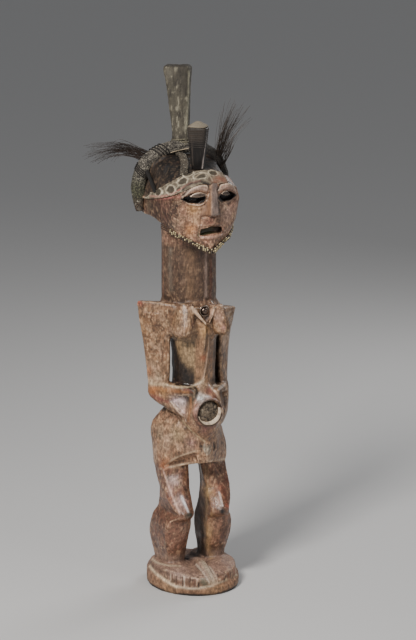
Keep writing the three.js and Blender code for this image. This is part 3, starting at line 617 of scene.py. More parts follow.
ROLL_PLACES = (
    (-62, 53, 580), (-65, 55, 600), (-65, 55.5, 620), (-60.5, 53.5, 640), (-50.5, 51, 656.5),
    (-33.5, 47, 668), (-14, 44, 674.5), (4, 42, 676), (22, 40, 673.5), (40, 38, 666.5),
    (55, 37, 653), (65, 39, 634), (68, 42, 612), (67, 46, 594), (65, 48, 581),
)
ROLL_PATH = curve_through(ROLL_PLACES, 10)
ROLL_RADIUS = 11.7
FIGURE_VOXEL = 1.65
CAVITY_HEIGHT = 283
CAVITY_RADIUS = 20.3
FAR_TEMPLE = np.array([44, -38, 634])
FAR_BROW_END = np.array([44, -36, 633])
CURVE_STEPS = 5


def openness(skin, reach, rays=8):
    """Share of directions from each point that aren't blocked nearby."""
    outward, lift = 1.05, 0.8
    tree = skin.tree()
    normals = skin.normals()
    turns = rng.normal(size=(rays, 3))
    turns /= np.linalg.norm(turns, axis=1)[:, None]
    ways = normals[:, None, :] * outward + turns[None, :, :]
    starts = skin.p + normals * lift
    free = np.array(
        [
            sum(tree.ray_cast(start, way, reach)[0] is None for way in fan)
            for start, fan in zip(starts.tolist(), ways.tolist())
        ]
    )
    return skin.averaged(free / rays, 2)


def carve_adze_marks(skin):
    """Shallow dished facets left by the adze and the knife, longer than they are wide."""
    p = skin.p
    first, _ = cells(p, (11, 11, 24), 3)
    small, _ = cells(p, (6, 6, 11), 11)
    on_face = smooth_step(520, 545, p[:, 2]) * smooth_step(0, -25, p[:, 1])
    on_base = smooth_step(26, 18, p[:, 2])
    depth = 1.0 - 0.75 * on_face - 0.3 * on_base
    skin.push(depth * (0.9 * (first**2 - 0.3) + 0.25 * (small**2 - 0.3)))


def carve_line(skin, line, width, height):
    """Ridge along a line, or a cut where the height is below 0."""
    away, _ = to_line(skin.p, line)
    skin.push(height * bell(away, width))


# Outlines of the eye at the figure's left, [x, z]; the other is its mirror image
EYE_ARCH = [(7.5, 627), (11, 635), (22.5, 636.5), (36, 630), (44, 618)]
EYE_LID = [(13, 627), (22, 630), (31, 628.5), (39, 622)]
EYE_RIM = [(44, 616), (41, 610.5), (34, 605.5), (27, 603.5), (17, 603.5), (10, 609), (7.3, 620)]
SLIT_TOP = [(9.5, 617), (14, 621), (21, 623.2), (33, 621.8), (45, 614.5)]
FACE_BACK = -32
BEHIND_FACE = 99

# Cuts and ridges of mouth, nose and cheek: [x, z] places, width and height in millimetres
FACE_CUTS = (
    ([(-19, 572), (0, 573), (19, 572)], 1.3, 1.0),
    ([(-19, 555.5), (0, 555), (19, 555.5)], 1.6, 1.3),
    ([(-15, 585.5), (0, 585), (15, 585.5)], 1.6, -1.6),
    ([(-16.5, 583), (-18, 572), (-21, 556)], 1.4, -1.0),
    ([(-16, 589), (-11, 606), (-6, 626)], 1.3, -1.2),
    ([(16, 589), (11, 606), (6, 626)], 1.3, -1.2),
    ([(-40, 600), (-38, 585), (-30, 565), (-24, 556)], 2.5, -0.8),
)


def from_face_line(skin, places):
    """Distance of each point of the face from a line through [x, z] places, seen from the front."""
    away, _ = to_line(skin.p * [1, 0, 1], curve_through([(x, 0, z) for x, z in places], 4))
    return away + BEHIND_FACE * (skin.p[:, 1] > FACE_BACK)


def carve_face(skin):
    """Lids, arches and rims of both eyes, then the cuts of the lower face."""
    for side in (-1, 1):
        for places, width, height in (
            (EYE_LID, 4.6, 2.6),
            (EYE_ARCH, 1.2, -1.8),
            ([(x, z - 2.8) for x, z in EYE_ARCH], 1.0, 0.7),
            (EYE_RIM, 0.9, 0.9 if side < 0 else 0.3),
            ([(x * 1.1 - 2.5, z - 3) for x, z in EYE_RIM[1:-1]], 1.4, -0.8),
        ):
            mirrored = [(side * x, z) for x, z in places]
            skin.push(height * bell(from_face_line(skin, mirrored), width))
    for places, width, height in FACE_CUTS:
        skin.push(height * bell(from_face_line(skin, places), width))


# Lines that are both cut and painted, as places in the photograph
TOE_GAPS = (
    [(172, 575), (171.5, 582)],
    [(176.2, 577), (176, 584)],
    [(182.3, 577.5), (182.5, 585.5)],
    [(189.8, 577.5), (190, 586.5)],
    [(198, 577), (198.8, 587)],
    [(217.5, 574), (219, 581.5)],
    [(224, 572), (225, 580)],
    [(229.8, 570.5), (231, 577.5)],
)
TOE_GAP_DEPTHS = (1.8, 2.0, 2.0, 2.2, 2.2, 2.0, 2.0, 2.0)
THUMB_GAP = [(186.5, 402), (185.5, 418)]
FAR_HAND_EDGE = [(210, 386.5), (216.3, 393), (220.4, 402.5), (222.3, 411), (222, 417)]
FAR_FINGER_GAPS = ([(224, 397), (224.7, 406), (224, 414)], [(226.4, 396), (226.2, 403), (225.4, 408)])
COLLAR_END = [(208.5, 323.5), (215, 326.5), (224, 331)]
FAR_BREAST_EDGE = [(222.5, 301), (226, 314), (228, 329)]

# Cuts and ridges of hands, shield, feet and chest: picture places, width and height in millimetres
BODY_CUTS = (
    ([(170, 396), (181, 396.5), (192, 393.5)], 1.5, -1.2),
    ([(172, 403), (179, 412), (186, 421)], 1.2, 0.9),
    (THUMB_GAP, 0.9, -0.7),
    ([(189, 400), (188.3, 420)], 0.9, -0.7),
    ([(197.5, 444), (196.3, 452), (197.6, 463)], 1.2, -1.1),
    ([(200.5, 443.5), (200.3, 447), (201.5, 450)], 1.9, -1.8),
    ([(214, 443.5), (214.8, 447), (213.8, 450)], 1.9, -1.8),
    ([(204, 443), (203.5, 449), (206, 454)], 1.0, -0.7),
    ([(211, 443), (212, 449), (210, 454)], 1.0, -0.7),
    ([(201, 456), (207, 459), (214, 455)], 1.0, -0.7),
    ([(207.5, 446), (207.8, 450)], 2.2, 1.0),
    ([(147.5, 562), (156, 572), (169, 581.5)], 2.0, 1.1),
    ([(150, 558), (158, 562.5), (170, 566)], 1.6, 0.9),
    *((gap, 1.4, -depth) for gap, depth in zip(TOE_GAPS, TOE_GAP_DEPTHS)),
    ([(172, 573), (182, 575), (192, 576), (203, 575.5)], 1.4, -1.0),
    ([(218, 572.5), (226, 569.5), (233, 567)], 1.3, -0.8),
    ([(197, 565), (204, 574), (209, 583)], 1.6, 1.2),
    ([(205, 560), (211, 569), (217, 579)], 1.4, 1.0),
    ([(201, 563), (207, 571), (213, 580)], 1.2, -0.6),
    (COLLAR_END, 1.3, -1.0),
    ([(191, 316), (193, 326), (196, 334)], 1.6, -1.0),
    (FAR_BREAST_EDGE, 1.2, -1.0),
    ([(208.5, 340), (206.5, 362), (203.5, 378)], 1.4, 0.9),
    (FAR_HAND_EDGE, 1.5, 1.2),
    (FAR_FINGER_GAPS[0], 1.1, -1.1),
    (FAR_FINGER_GAPS[1], 1.0, -0.9),
)


def carve_body(skin, surface):
    """Lines of the hands, shield, feet and chest, placed where the photograph shows them."""
    for pixels, width, height in BODY_CUTS:
        carve_line(skin, curve_through(seen_line(surface, pixels), CURVE_STEPS), width, height)


def paint_line(skin, line, width, colour, share):
    """Broken stroke of a colour along a line through places."""
    away, _ = to_line(skin.p, line)
    broken = 0.75 + 0.5 * rough(skin.p, 5, 31)
    skin.mix(colour, share * broken * bell(away, width))


def paint_spot(skin, place, radius, colour, share):
    """Soft spot of a colour with a broken edge."""
    away = np.linalg.norm(skin.p - place, axis=1)
    broken = 0.8 + 0.7 * rough(skin.p, radius * 0.7, 33)
    skin.mix(colour, share * broken * bell(away, radius))


def paint_spots(skin, surface, spots, strength=1.0):
    """Soft round marks at picture places."""
    for pixel, radius, colour, share in spots:
        paint_spot(skin, seen(surface, *pixel), radius, colour, share * strength)


def paint_lines(skin, surface, lines, steps=1):
    """Strokes along picture places, curved where there is more than one step between them."""
    for pixels, width, colour, share in lines:
        paint_line(skin, curve_through(seen_line(surface, pixels), steps), width, colour, share)


# Marks painted on the wood, some of them painted shade under the knees and at the foot of the neck, painted
# highlights on the belly, a painted sheen on the hand and painted light on the far arm's inner side: picture
# place, radius in millimetres, colour, strength
WOOD_SPOTS = (
    ((175, 481), 9, (192, 164, 156), 0.85),
    ((183, 500), 9, (206, 170, 162), 0.9),
    ((176, 466), 8, (92, 74, 52), 0.6),
    ((222, 470), 9, (62, 42, 34), 0.6),
    ((221, 490), 10, (128, 64, 46), 0.8),
    # Painted shade under the far knee, and a red mark beside it
    ((223, 511.5), 6.5, (30, 27, 27), 1.3),
    ((227.5, 506), 5, (132, 50, 38), 1.0),
    # Painted shade under the near knee
    ((191, 515), 5, (42, 50, 40), 1.3),
    ((188, 515.5), 5.5, (40, 44, 36), 1.3),
    ((207, 492), 11, (176, 140, 96), 0.9),
    ((207, 532), 13, (160, 124, 86), 0.9),
    ((224, 533), 13, (74, 42, 31), 1.1),
    ((225, 548), 9, (70, 44, 34), 1.0),
    ((227, 480), 10, (96, 48, 34), 1.0),
    ((226, 497), 8, (104, 54, 38), 0.9),
    ((152, 520), 10, (128, 104, 84), 0.5),
    ((184, 540), 9, (100, 58, 44), 0.8),
    ((170, 440), 14, (176, 146, 122), 0.5),
    ((190, 442), 9, (178, 138, 128), 0.7),
    ((160, 432), 10, (186, 168, 142), 0.5),
    ((207.8, 449), 6, (142, 142, 128), 0.9),
    ((201.3, 446.5), 3.4, (34, 28, 24), 1.1),
    ((214.5, 446.5), 3.4, (34, 28, 24), 1.1),
    ((204, 431), 8, (98, 60, 56), 0.9),
    ((211, 433), 7, (92, 62, 54), 0.8),
    ((221, 436), 11, (66, 50, 42), 1.1),
    ((218, 446), 7, (84, 62, 52), 0.9),
    ((224, 450), 7, (100, 72, 62), 0.6),
    ((183, 460), 7, (106, 72, 52), 0.8),
    ((192, 456), 6, (92, 60, 45), 0.8),
    ((160, 489), 8, (124, 76, 58), 0.7),
    ((191, 492), 6, (140, 84, 54), 0.6),
    ((198, 426), 7, (120, 88, 74), 0.5),
    ((138, 302), 6, (158, 66, 52), 0.9),
    ((153, 391), 9, (184, 112, 64), 0.9),
    ((163, 391), 6, (206, 152, 90), 0.7),
    ((158, 400), 7, (112, 52, 46), 0.9),
    # The hand's pale lilac facet: partly its colour and partly a painted sheen
    ((175, 400), 7, (214, 184, 182), 1.0),
    ((181.5, 402), 8, (228, 204, 200), 1.1),
    ((183, 411), 7, (212, 176, 164), 1.0),
    # Painted highlight on the belly above the cavity
    ((201, 398.5), 6.5, (246, 242, 236), 1.2),
    ((207.5, 397), 4.5, (230, 220, 212), 0.9),
    ((152, 366), 11, (192, 160, 130), 0.7),
    ((158, 378), 9, (206, 176, 144), 0.8),
    ((150, 382), 6, (226, 200, 166), 0.7),
    ((162, 464), 10, (150, 80, 36), 0.9),
    ((168, 462), 6, (148, 86, 44), 0.8),
    ((178, 434), 13, (182, 156, 118), 0.8),
    ((157, 500), 9, (130, 74, 58), 0.7),
    ((223, 218), 9, (186, 154, 134), 0.6),
    ((229, 178), 11, (128, 82, 58), 1.0),
    ((222, 181), 8, (120, 76, 56), 0.8),
    ((228, 248), 8, (128, 100, 86), 0.5),
    ((209, 391), 7, (122, 62, 60), 1.0),
    ((214.5, 396), 5, (108, 58, 54), 0.9),
    ((203, 385), 7, (170, 158, 134), 0.5),
    ((196, 409), 7, (206, 166, 152), 0.8),
    ((217, 386), 7, (206, 184, 158), 0.8),
    ((225, 402), 9, (104, 70, 50), 0.9),
    ((218, 316), 10, (184, 146, 128), 0.8),
    ((223.5, 328), 4, (206, 150, 140), 0.8),
    ((231, 316), 8, (150, 124, 90), 0.7),
    ((198.5, 307), 5, (62, 46, 38), 0.9),
    ((209, 306), 4, (58, 42, 36), 0.9),
    ((206, 318), 3, (54, 38, 32), 0.8),
    # Painted shadow at the foot of the neck
    ((212, 300), 5, (30, 24, 20), 0.9),
    # Painted light on the far arm's inner side, where the torso shades it
    ((219, 358), 6, (126, 92, 64), 0.7),
    ((143, 326), 14, (160, 118, 76), 0.6),
    ((146, 372), 9, (176, 106, 66), 0.6),
    ((175, 322), 12, (150, 122, 90), 0.5),
    ((193, 209), 9, (184, 134, 76), 0.9),
    ((190, 230), 9, (186, 122, 68), 0.9),
    ((196, 220), 7, (196, 156, 116), 0.7),
    ((180, 222), 7, (150, 118, 92), 0.7),
    ((225, 207), 6, (190, 162, 140), 0.7),
    ((210, 222), 8, (142, 90, 72), 0.8),
    ((208, 240), 7, (202, 146, 122), 0.85),
    ((228, 214), 12, (196, 160, 142), 0.85),
    ((235, 205), 8, (190, 146, 130), 0.6),
    ((215, 203), 5, (140, 128, 122), 0.7),
    ((225, 184), 9, (196, 132, 104), 0.8),
    ((236, 190), 7, (178, 112, 92), 0.7),
    ((165, 208), 16, (112, 74, 64), 0.7),
    ((148, 204), 9, (112, 98, 80), 0.7),
    ((175, 226), 10, (140, 118, 98), 0.5),
    ((204.5, 581), 5, (92, 102, 84), 0.8),
    ((152, 572), 7, (104, 76, 58), 0.7),
    ((160, 574), 7, (96, 68, 52), 0.7),
    ((205, 332), 10, (180, 138, 88), 0.9),
    ((193.5, 325), 6, (80, 50, 50), 1.0),
    ((211, 358), 5, (98, 54, 44), 0.9),
    ((203.5, 358), 4.5, (178, 94, 62), 0.9),
    ((180, 572), 16, (162, 136, 126), 0.6),
    ((222, 566), 15, (122, 92, 78), 0.9),
    ((170, 590), 16, (160, 124, 90), 0.6),
    ((215, 590), 16, (158, 120, 82), 0.6),
)

# Lower edge of the hips, as places in the photograph
HEM_EDGE = [(161, 468.6), (172, 466.6), (185, 464.3), (198, 462.4), (211, 461.2), (224.5, 459)]

# Lines painted on the wood, some of them painted highlights on the knees, the near breast, the neck and the
# toes, and painted shade in the gaps between the toes: picture places, width in millimetres, colour, strength
WOOD_LINES = (
    ([(163, 469.5), (170, 490), (180, 514)], 1.5, (226, 184, 164), 0.9),
    # Painted highlights down the near and the far knee
    ([(181.5, 497), (184.5, 503), (188.3, 511.5)], 2.0, (255, 246, 244), 1.3),
    ([(219, 492), (221, 499), (222.7, 506)], 1.2, (246, 230, 220), 1.1),
    ([(211.5, 514), (209.5, 530), (208.5, 548), (211, 558)], 3.6, (174, 138, 98), 0.7),
    ([(187, 387.3), (192.5, 386), (198, 383.6), (204, 379.5)], 1.9, (226, 200, 166), 0.8),
    ([(160, 406.5), (168, 411), (177, 419)], 1.5, (70, 42, 34), 0.7),
    ([(181, 418), (190, 428), (197, 434)], 1.3, (84, 56, 44), 0.6),
    (COLLAR_END, 1.1, (70, 44, 36), 0.8),
    (FAR_BREAST_EDGE, 1.3, (58, 36, 30), 0.8),
    (HEM_EDGE, 1.6, (226, 196, 162), 1.2),
    ([(166, 473.5), (178, 470.5), (189, 468.5)], 1.8, (92, 62, 47), 0.7),
    ([(165, 466), (176, 458), (195.5, 451)], 1.4, (206, 176, 144), 0.7),
    ([(183, 421), (193, 432), (204.5, 441)], 1.7, (206, 180, 140), 0.75),
    ([(205.6, 468), (207.5, 492), (205.6, 546)], 4.5, (160, 132, 96), 0.5),
    ([(187.5, 470), (191, 490), (195, 510)], 2.2, (176, 122, 82), 0.6),
    ([(149.5, 566), (153, 570), (160, 576.5), (169, 582.7), (177, 587)], 2.4, (236, 208, 172), 1.1),
    ([(152, 559), (158, 563), (168, 565.5), (180, 566)], 2.0, (220, 196, 164), 0.8),
    ([(150.5, 562.5), (158, 569), (168, 574)], 2.2, (78, 54, 42), 0.7),
    ([(175.5, 586.3), (192, 588.5), (209, 586.3), (222.4, 581.3), (237, 574.6)], 1.8, (222, 200, 170), 0.85),
    ([(203.5, 562), (208.5, 571), (213, 582)], 5.0, (196, 178, 152), 0.75),
    ([(196.5, 564.5), (204, 574), (209, 583)], 1.5, (232, 214, 192), 1.0),
    ([(204.5, 560), (211, 569), (217, 579)], 1.3, (222, 202, 178), 0.9),
    ([(207, 571), (212, 580)], 1.0, (110, 86, 72), 0.7),
    ([(188, 572), (196, 574.5), (206, 575.5)], 1.6, (120, 86, 78), 0.6),
    ([(176, 582), (180, 583), (182, 582)], 3.2, (98, 64, 50), 0.8),
    ([(186.8, 579), (187.5, 585.5)], 3.4, (84, 54, 42), 0.85),
    ([(193.8, 580.5), (194.4, 586)], 3.4, (108, 72, 56), 0.8),
    ([(202, 582), (206, 584)], 5.0, (72, 76, 62), 0.85),
    ([(220.5, 577), (222.5, 579)], 3.6, (112, 66, 46), 0.8),
    ([(228, 574), (229, 577)], 3.2, (120, 72, 46), 0.8),
    ([(233.8, 569.5), (234, 574)], 3.2, (160, 98, 58), 0.8),
    # Painted shade in the gaps between the toes
    (TOE_GAPS[0], 1.2, (40, 28, 23), 1.1),
    (TOE_GAPS[1], 1.3, (38, 26, 22), 1.2),
    (TOE_GAPS[2], 1.3, (38, 26, 22), 1.2),
    (TOE_GAPS[3], 1.4, (34, 24, 20), 1.25),
    (TOE_GAPS[4], 1.5, (32, 22, 19), 1.25),
    *((gap, 1.3, (40, 28, 23), 1.1) for gap in TOE_GAPS[5:]),
    # Painted highlights on the toes beside the gaps
    ([(170.5, 574.5), (170.3, 580.5)], 1.0, (226, 198, 172), 0.8),
    ([(183.8, 576.5), (184, 586)], 1.1, (246, 226, 202), 1.0),
    ([(191, 578.3), (196.6, 578.6), (197, 585)], 0.9, (224, 194, 168), 0.85),
    ([(184.5, 576.8), (188.8, 577.6)], 0.9, (222, 190, 166), 0.8),
    ([(201, 578.8), (206.5, 579.6)], 1.1, (196, 196, 176), 0.8),
    ([(177, 578.8), (181.5, 579.4)], 0.9, (204, 170, 146), 0.7),
    ([(225.6, 572), (226.2, 579.5)], 1.1, (244, 206, 160), 1.0),
    ([(231.8, 570.5), (232.2, 576)], 1.0, (236, 192, 144), 0.9),
    ([(235.5, 567.5), (235.8, 574.5)], 1.1, (240, 206, 168), 0.9),
    ([(200.5, 443), (200.2, 447), (201.5, 451)], 2.2, (40, 32, 27), 0.9),
    ([(214, 443), (214.8, 447), (213.8, 451)], 2.2, (40, 32, 27), 0.9),
    ([(204.5, 444), (204, 449), (207, 454.5), (211.5, 450), (211, 444)], 1.2, (196, 186, 166), 0.7),
    ([(143, 384), (152.5, 384)], 1.5, (214, 186, 150), 0.6),
    ([(138, 300.8), (151, 301), (163, 302)], 1.5, (214, 190, 160), 0.8),
    ([(151, 384), (165, 384.5), (178, 387), (192, 387)], 2.2, (226, 196, 156), 0.85),
    ([(151, 388.5), (163, 389.5), (176, 391), (188, 392)], 3.4, (170, 112, 68), 0.7),
    ([(183.5, 389), (189, 389.8), (192.3, 393)], 1.2, (116, 54, 42), 0.8),
    ([(152, 395.5), (160, 399), (168, 402)], 3.0, (118, 60, 56), 0.8),
    ([(169, 396.4), (179, 395.8), (189.5, 394.4)], 1.0, (232, 196, 162), 0.85),
    ([(190.6, 397.5), (190.6, 409), (188, 421)], 1.9, (182, 122, 78), 0.75),
    (THUMB_GAP, 0.9, (104, 70, 50), 0.7),
    ([(188.8, 400), (188.2, 420)], 0.9, (108, 72, 50), 0.6),
    ([(171, 402), (178.5, 411.5), (186, 421)], 1.2, (230, 202, 176), 0.9),
    ([(196, 400), (194, 410), (196, 420)], 1.7, (214, 150, 120), 0.6),
    (FAR_FINGER_GAPS[0], 1.2, (62, 42, 33), 0.85),
    (FAR_FINGER_GAPS[1], 1.1, (70, 47, 36), 0.75),
    (FAR_HAND_EDGE, 1.7, (234, 200, 170), 1.2),
    ([(221, 384), (225.6, 389.5), (227, 395)], 1.3, (226, 196, 160), 0.9),
    ([(203, 379), (206, 364), (208.3, 350), (208.8, 338)], 1.5, (214, 180, 156), 0.7),
    ([(191.5, 308), (199, 316), (206, 323.5)], 2.6, (218, 188, 160), 0.9),
    ([(213.3, 305), (211, 314), (208, 322)], 1.7, (200, 166, 146), 0.8),
    # Painted highlight down the near breast
    ([(184, 311), (184.6, 324), (184.3, 335)], 0.9, (226, 202, 186), 0.5),
    ([(154, 198.5), (167, 198), (180, 196.5)], 1.7, (176, 110, 102), 0.85),
    ([(201.5, 228.3), (211, 228.4), (221, 225.4)], 1.1, (196, 160, 138), 0.8),
    ([(200.5, 237), (210, 237.5), (220, 235.5)], 1.6, (216, 172, 152), 0.9),
    ([(208, 189), (205, 201), (201, 213.5)], 1.0, (190, 142, 104), 0.7),
    # Painted highlights down the neck: a pinkish one in the middle and a grey one on the near side
    ([(206, 255), (206, 275), (206, 296)], 2.6, (190, 164, 150), 0.5),
    ([(170.5, 250), (170, 268), (171, 290)], 4.5, (136, 128, 114), 0.35),
    ([(190, 254), (190, 275), (190, 297)], 9.0, (122, 94, 70), 0.6),
    ([(210.8, 258), (211, 280), (210.8, 298)], 3.0, (98, 52, 44), 0.6),
    ([(162.8, 250), (163, 275), (163.2, 296)], 2.0, (150, 92, 58), 0.7),
    ([(200.6, 215), (200.5, 226), (200, 236)], 1.0, (98, 64, 50), 0.6),
)


# Height of the crown's front edge by angle round the head, in degrees from the front
BROW_ANGLES = [0, 16, 34, 58, 93, 121, 180]
BROW_HEIGHTS = [648, 647.5, 642, 630, 612, 602, 606]
HEAD_MIDDLE_Y = 5
LEFT_BROW_DROP = 4

# Front edge of the shade inside the gap between arm and torso: heights and depths
SHADE_HEIGHTS = [318, 330, 368, 388]
SHADE_DEPTHS = [-46, -40, -11, -2]


def in_gap(p):
    """1 on the torso between the arms, where it is seen through the gaps."""
    x, y, z = p.T
    return between(z, 286, 300, 385, 404) * (np.abs(x) < 40) * (y < 25)


def paint_regions(skin):
    """Starting colours of the wood, from the base up to the crown."""
    x, y, z = skin.p.T
    front = smooth_step(0.25, 0.8, -skin.normals()[:, 1])
    near = smooth_step(10, -20, x)
    on_legs = between(z, 46, 62, 184, 200)
    on_head = smooth_step(528, 545, z)
    on_arms = between(z, 290, 310, 425, 436) * smooth_step(38, 42, np.abs(x))
    skin.tint = np.tile(linear(134, 100, 78), (len(skin.p), 1))
    skin.mix((138, 102, 76), smooth_step(30, 18, z))
    skin.mix((140, 110, 94), between(z, 16, 26, 46, 58))
    skin.mix((106, 69, 53), on_legs * (0.5 + 0.4 * near))
    # Painted light: the faces of the legs that turn to the front are lighter
    skin.mix((148, 106, 86), on_legs * front * 0.45)
    skin.mix((150, 112, 84), between(z, 186, 204, 255, 275))
    skin.mix((140, 106, 78), between(z, 262, 290, 435, 450))
    skin.mix((84, 63, 50), between(z, 440, 455, 540, 560))
    skin.mix((136, 101, 82), on_head)
    skin.mix((68, 48, 38), on_head * smooth_step(-43, -50, x) * smooth_step(-60, -46, y))
    skin.mix((108, 74, 58), on_head * smooth_step(47, 54, x) * smooth_step(-56, -40, y) * 0.8)
    skin.mix((92, 66, 54), on_head * smooth_step(20, 50, y) * 0.8)
    skin.mix((120, 88, 63), on_arms * 0.7)
    # The torso's sides seen through the gaps beside the arms: tan on the near side with painted shade over
    # its back part, and painted shade on the far side
    gap = in_gap(skin.p)
    in_shade = smooth_step(-9, 7, y - np.interp(z, SHADE_HEIGHTS, SHADE_DEPTHS))
    skin.mix((146, 120, 88), gap * smooth_step(-10, -15, x) * 0.9)
    skin.mix((36, 27, 22), gap * smooth_step(-10, -15, x) * in_shade)
    skin.mix((70, 50, 38), gap * smooth_step(17, 24, x) * 0.8)
    turned_away = np.abs(np.degrees(np.arctan2(x, HEAD_MIDDLE_Y - y)))
    brow = np.interp(turned_away, BROW_ANGLES, BROW_HEIGHTS) - LEFT_BROW_DROP * smooth_step(0, 18, x)
    on_crown = smooth_step(0, 3.5, z - brow) * on_head
    skin.mix((17, 13, 11), on_crown)
    skin.mix((50, 31, 24), on_crown * smooth_step(0.0, 0.45, rough(skin.p, 14, 41)) * 0.6)
    skin.mix((66, 54, 45), on_crown * smooth_step(-42, -54, x) * 0.6)
    return on_crown


def paint_flecks(skin, on_crown):
    """Broken dark and dusty flecks, strong on the hips and arms and faint on the face and feet."""
    p = skin.p
    x, y, z = p.T
    on_head = smooth_step(530, 545, z)
    quiet = 1 - 0.45 * on_head * smooth_step(-15, -40, y) - 0.55 * on_head * smooth_step(-40, -15, y)
    quiet -= 0.5 * smooth_step(60, 45, z) + 0.62 * smooth_step(448, 462, z) * (1 - on_head)
    quiet = quiet * (1 - 0.6 * on_crown) * (1 - 0.45 * between(z, 58, 68, 130, 148))
    quiet *= 1 - 0.9 * between(z, 284, 300, 385, 404) * (np.abs(x) < 32) * (y < 25)
    on_hips = between(z, 186, 204, 280, 300) + smooth_step(300, 320, z) * (np.abs(x) > 40)
    on_hips = np.clip(on_hips, 0, 1) * (1 - on_head) * smooth_step(450, 440, z)
    on_cheeks = on_head * smooth_step(-30, -45, y) * (1 - on_crown)
    warped = p + 5 * np.stack([rough(p, 14, seed) for seed in (95, 96, 97)], axis=1)
    for colour, share, low, high, places, size, seed in (
        ((178, 146, 120), on_hips * 0.5, 0.02, 0.36, warped, (12, 12, 13), 93),
        ((96, 64, 49), on_hips * 0.5, 0.02, 0.36, warped, (10, 10, 13), 94),
        ((204, 168, 134), on_cheeks * 0.4, 0.05, 0.4, p, 4.5, 98),
        ((98, 64, 50), on_cheeks * 0.45, 0.05, 0.4, p, 5.5, 99),
        ((222, 190, 158), on_cheeks * 0.35, 0.15, 0.42, p, 1.9, 100),
        ((66, 42, 31), quiet * 0.6, 0.05, 0.42, warped, (6, 6, 8), 51),
        ((208, 170, 132), quiet * 0.4, 0.08, 0.42, warped, (4, 4, 5.5), 57),
        ((56, 36, 27), quiet * 0.6, 0.12, 0.45, p, (2.4, 2.4, 3.2), 59),
        ((220, 184, 146), quiet * 0.45, 0.16, 0.42, p, (2.2, 2.2, 2.9), 60),
    ):
        skin.mix(colour, share * smooth_step(low, high, rough(places, size, seed)))


def paint_wear_and_shade(skin, free, on_crown):
    """Dark recesses and pale dusty edges, painted shade where the wood is closed in, a painted shadow along
    the foot of the base and dark rings round the cavity, then the gloss.
    """
    p = skin.p
    z = p[:, 2]
    fine = skin.bulge(3)
    broad = skin.bulge(24)
    hollow = smooth_step(0.05, -0.7, fine) + 0.8 * smooth_step(0, -2.2, broad)
    skin.mix((58, 38, 30), 0.6 * hollow)
    edge = smooth_step(0.14, 0.5, fine) * (1 - 0.8 * on_crown)
    skin.mix((222, 188, 154), edge * (0.62 + 0.5 * rough(p, 8, 61)))
    # Painted shade where nearby parts close the wood in: the less open a point, the darker
    closed = smooth_step(0.75, 0.25, free)
    skin.mix((36, 25, 20), 0.8 * closed)
    # Painted shadow along the foot of the base, where it stands on the floor
    skin.mix((20, 15, 13), smooth_step(5.4, 2.8, z + 0.9 * rough(p, 6, 66)))
    rim = np.hypot(p[:, 0], z - CAVITY_HEIGHT)
    at_rim = p[:, 1] < -50
    skin.mix((112, 74, 62), at_rim * between(rim, 20.5, 21.5, 24.5, 27) * 0.8)
    skin.mix((34, 24, 21), at_rim * bell(rim - CAVITY_RADIUS, 1.1) * 0.95)
    skin.gloss = np.clip(0.55 + 0.6 * rough(p, 12, 71) - 0.5 * closed, 0, 1)
    skin.gloss *= smooth_step(20, 70, z)
    off_temple = np.linalg.norm(p - FAR_TEMPLE, axis=1)
    skin.gloss *= (1 - bell(off_temple, 34)) * (1 - 0.9 * on_crown)


# The nose seen from the front: half width and the ridge's x by height; then the slit of the eye
NOSE_HEIGHTS = [586, 593, 606, 622, 638]
NOSE_HALF_WIDTHS = [15.5, 14.5, 10.5, 6.5, 5]
NOSE_TOP = 642
RIDGE_HEIGHTS = [588, 606, 622, 636]
RIDGE_X = [-6, -5.3, -4.8, -4.2]
NOSE_SIDE_EDGE = [(-5.5, 634), (-8, 620), (-12, 606), (-15.5, 592)]
SLIT_UPPER = [(8.5, 612.5), (14, 619), (21, 621), (33, 619.5), (45.5, 613)]
SLIT_LOWER = [(8.5, 612), (13, 607.5), (22, 605.3), (36, 606.5), (45.5, 612)]
MOUTH_HALF_WIDTH = 20.5
MOUTH_LOWER, MOUTH_UPPER = 554, 571.5


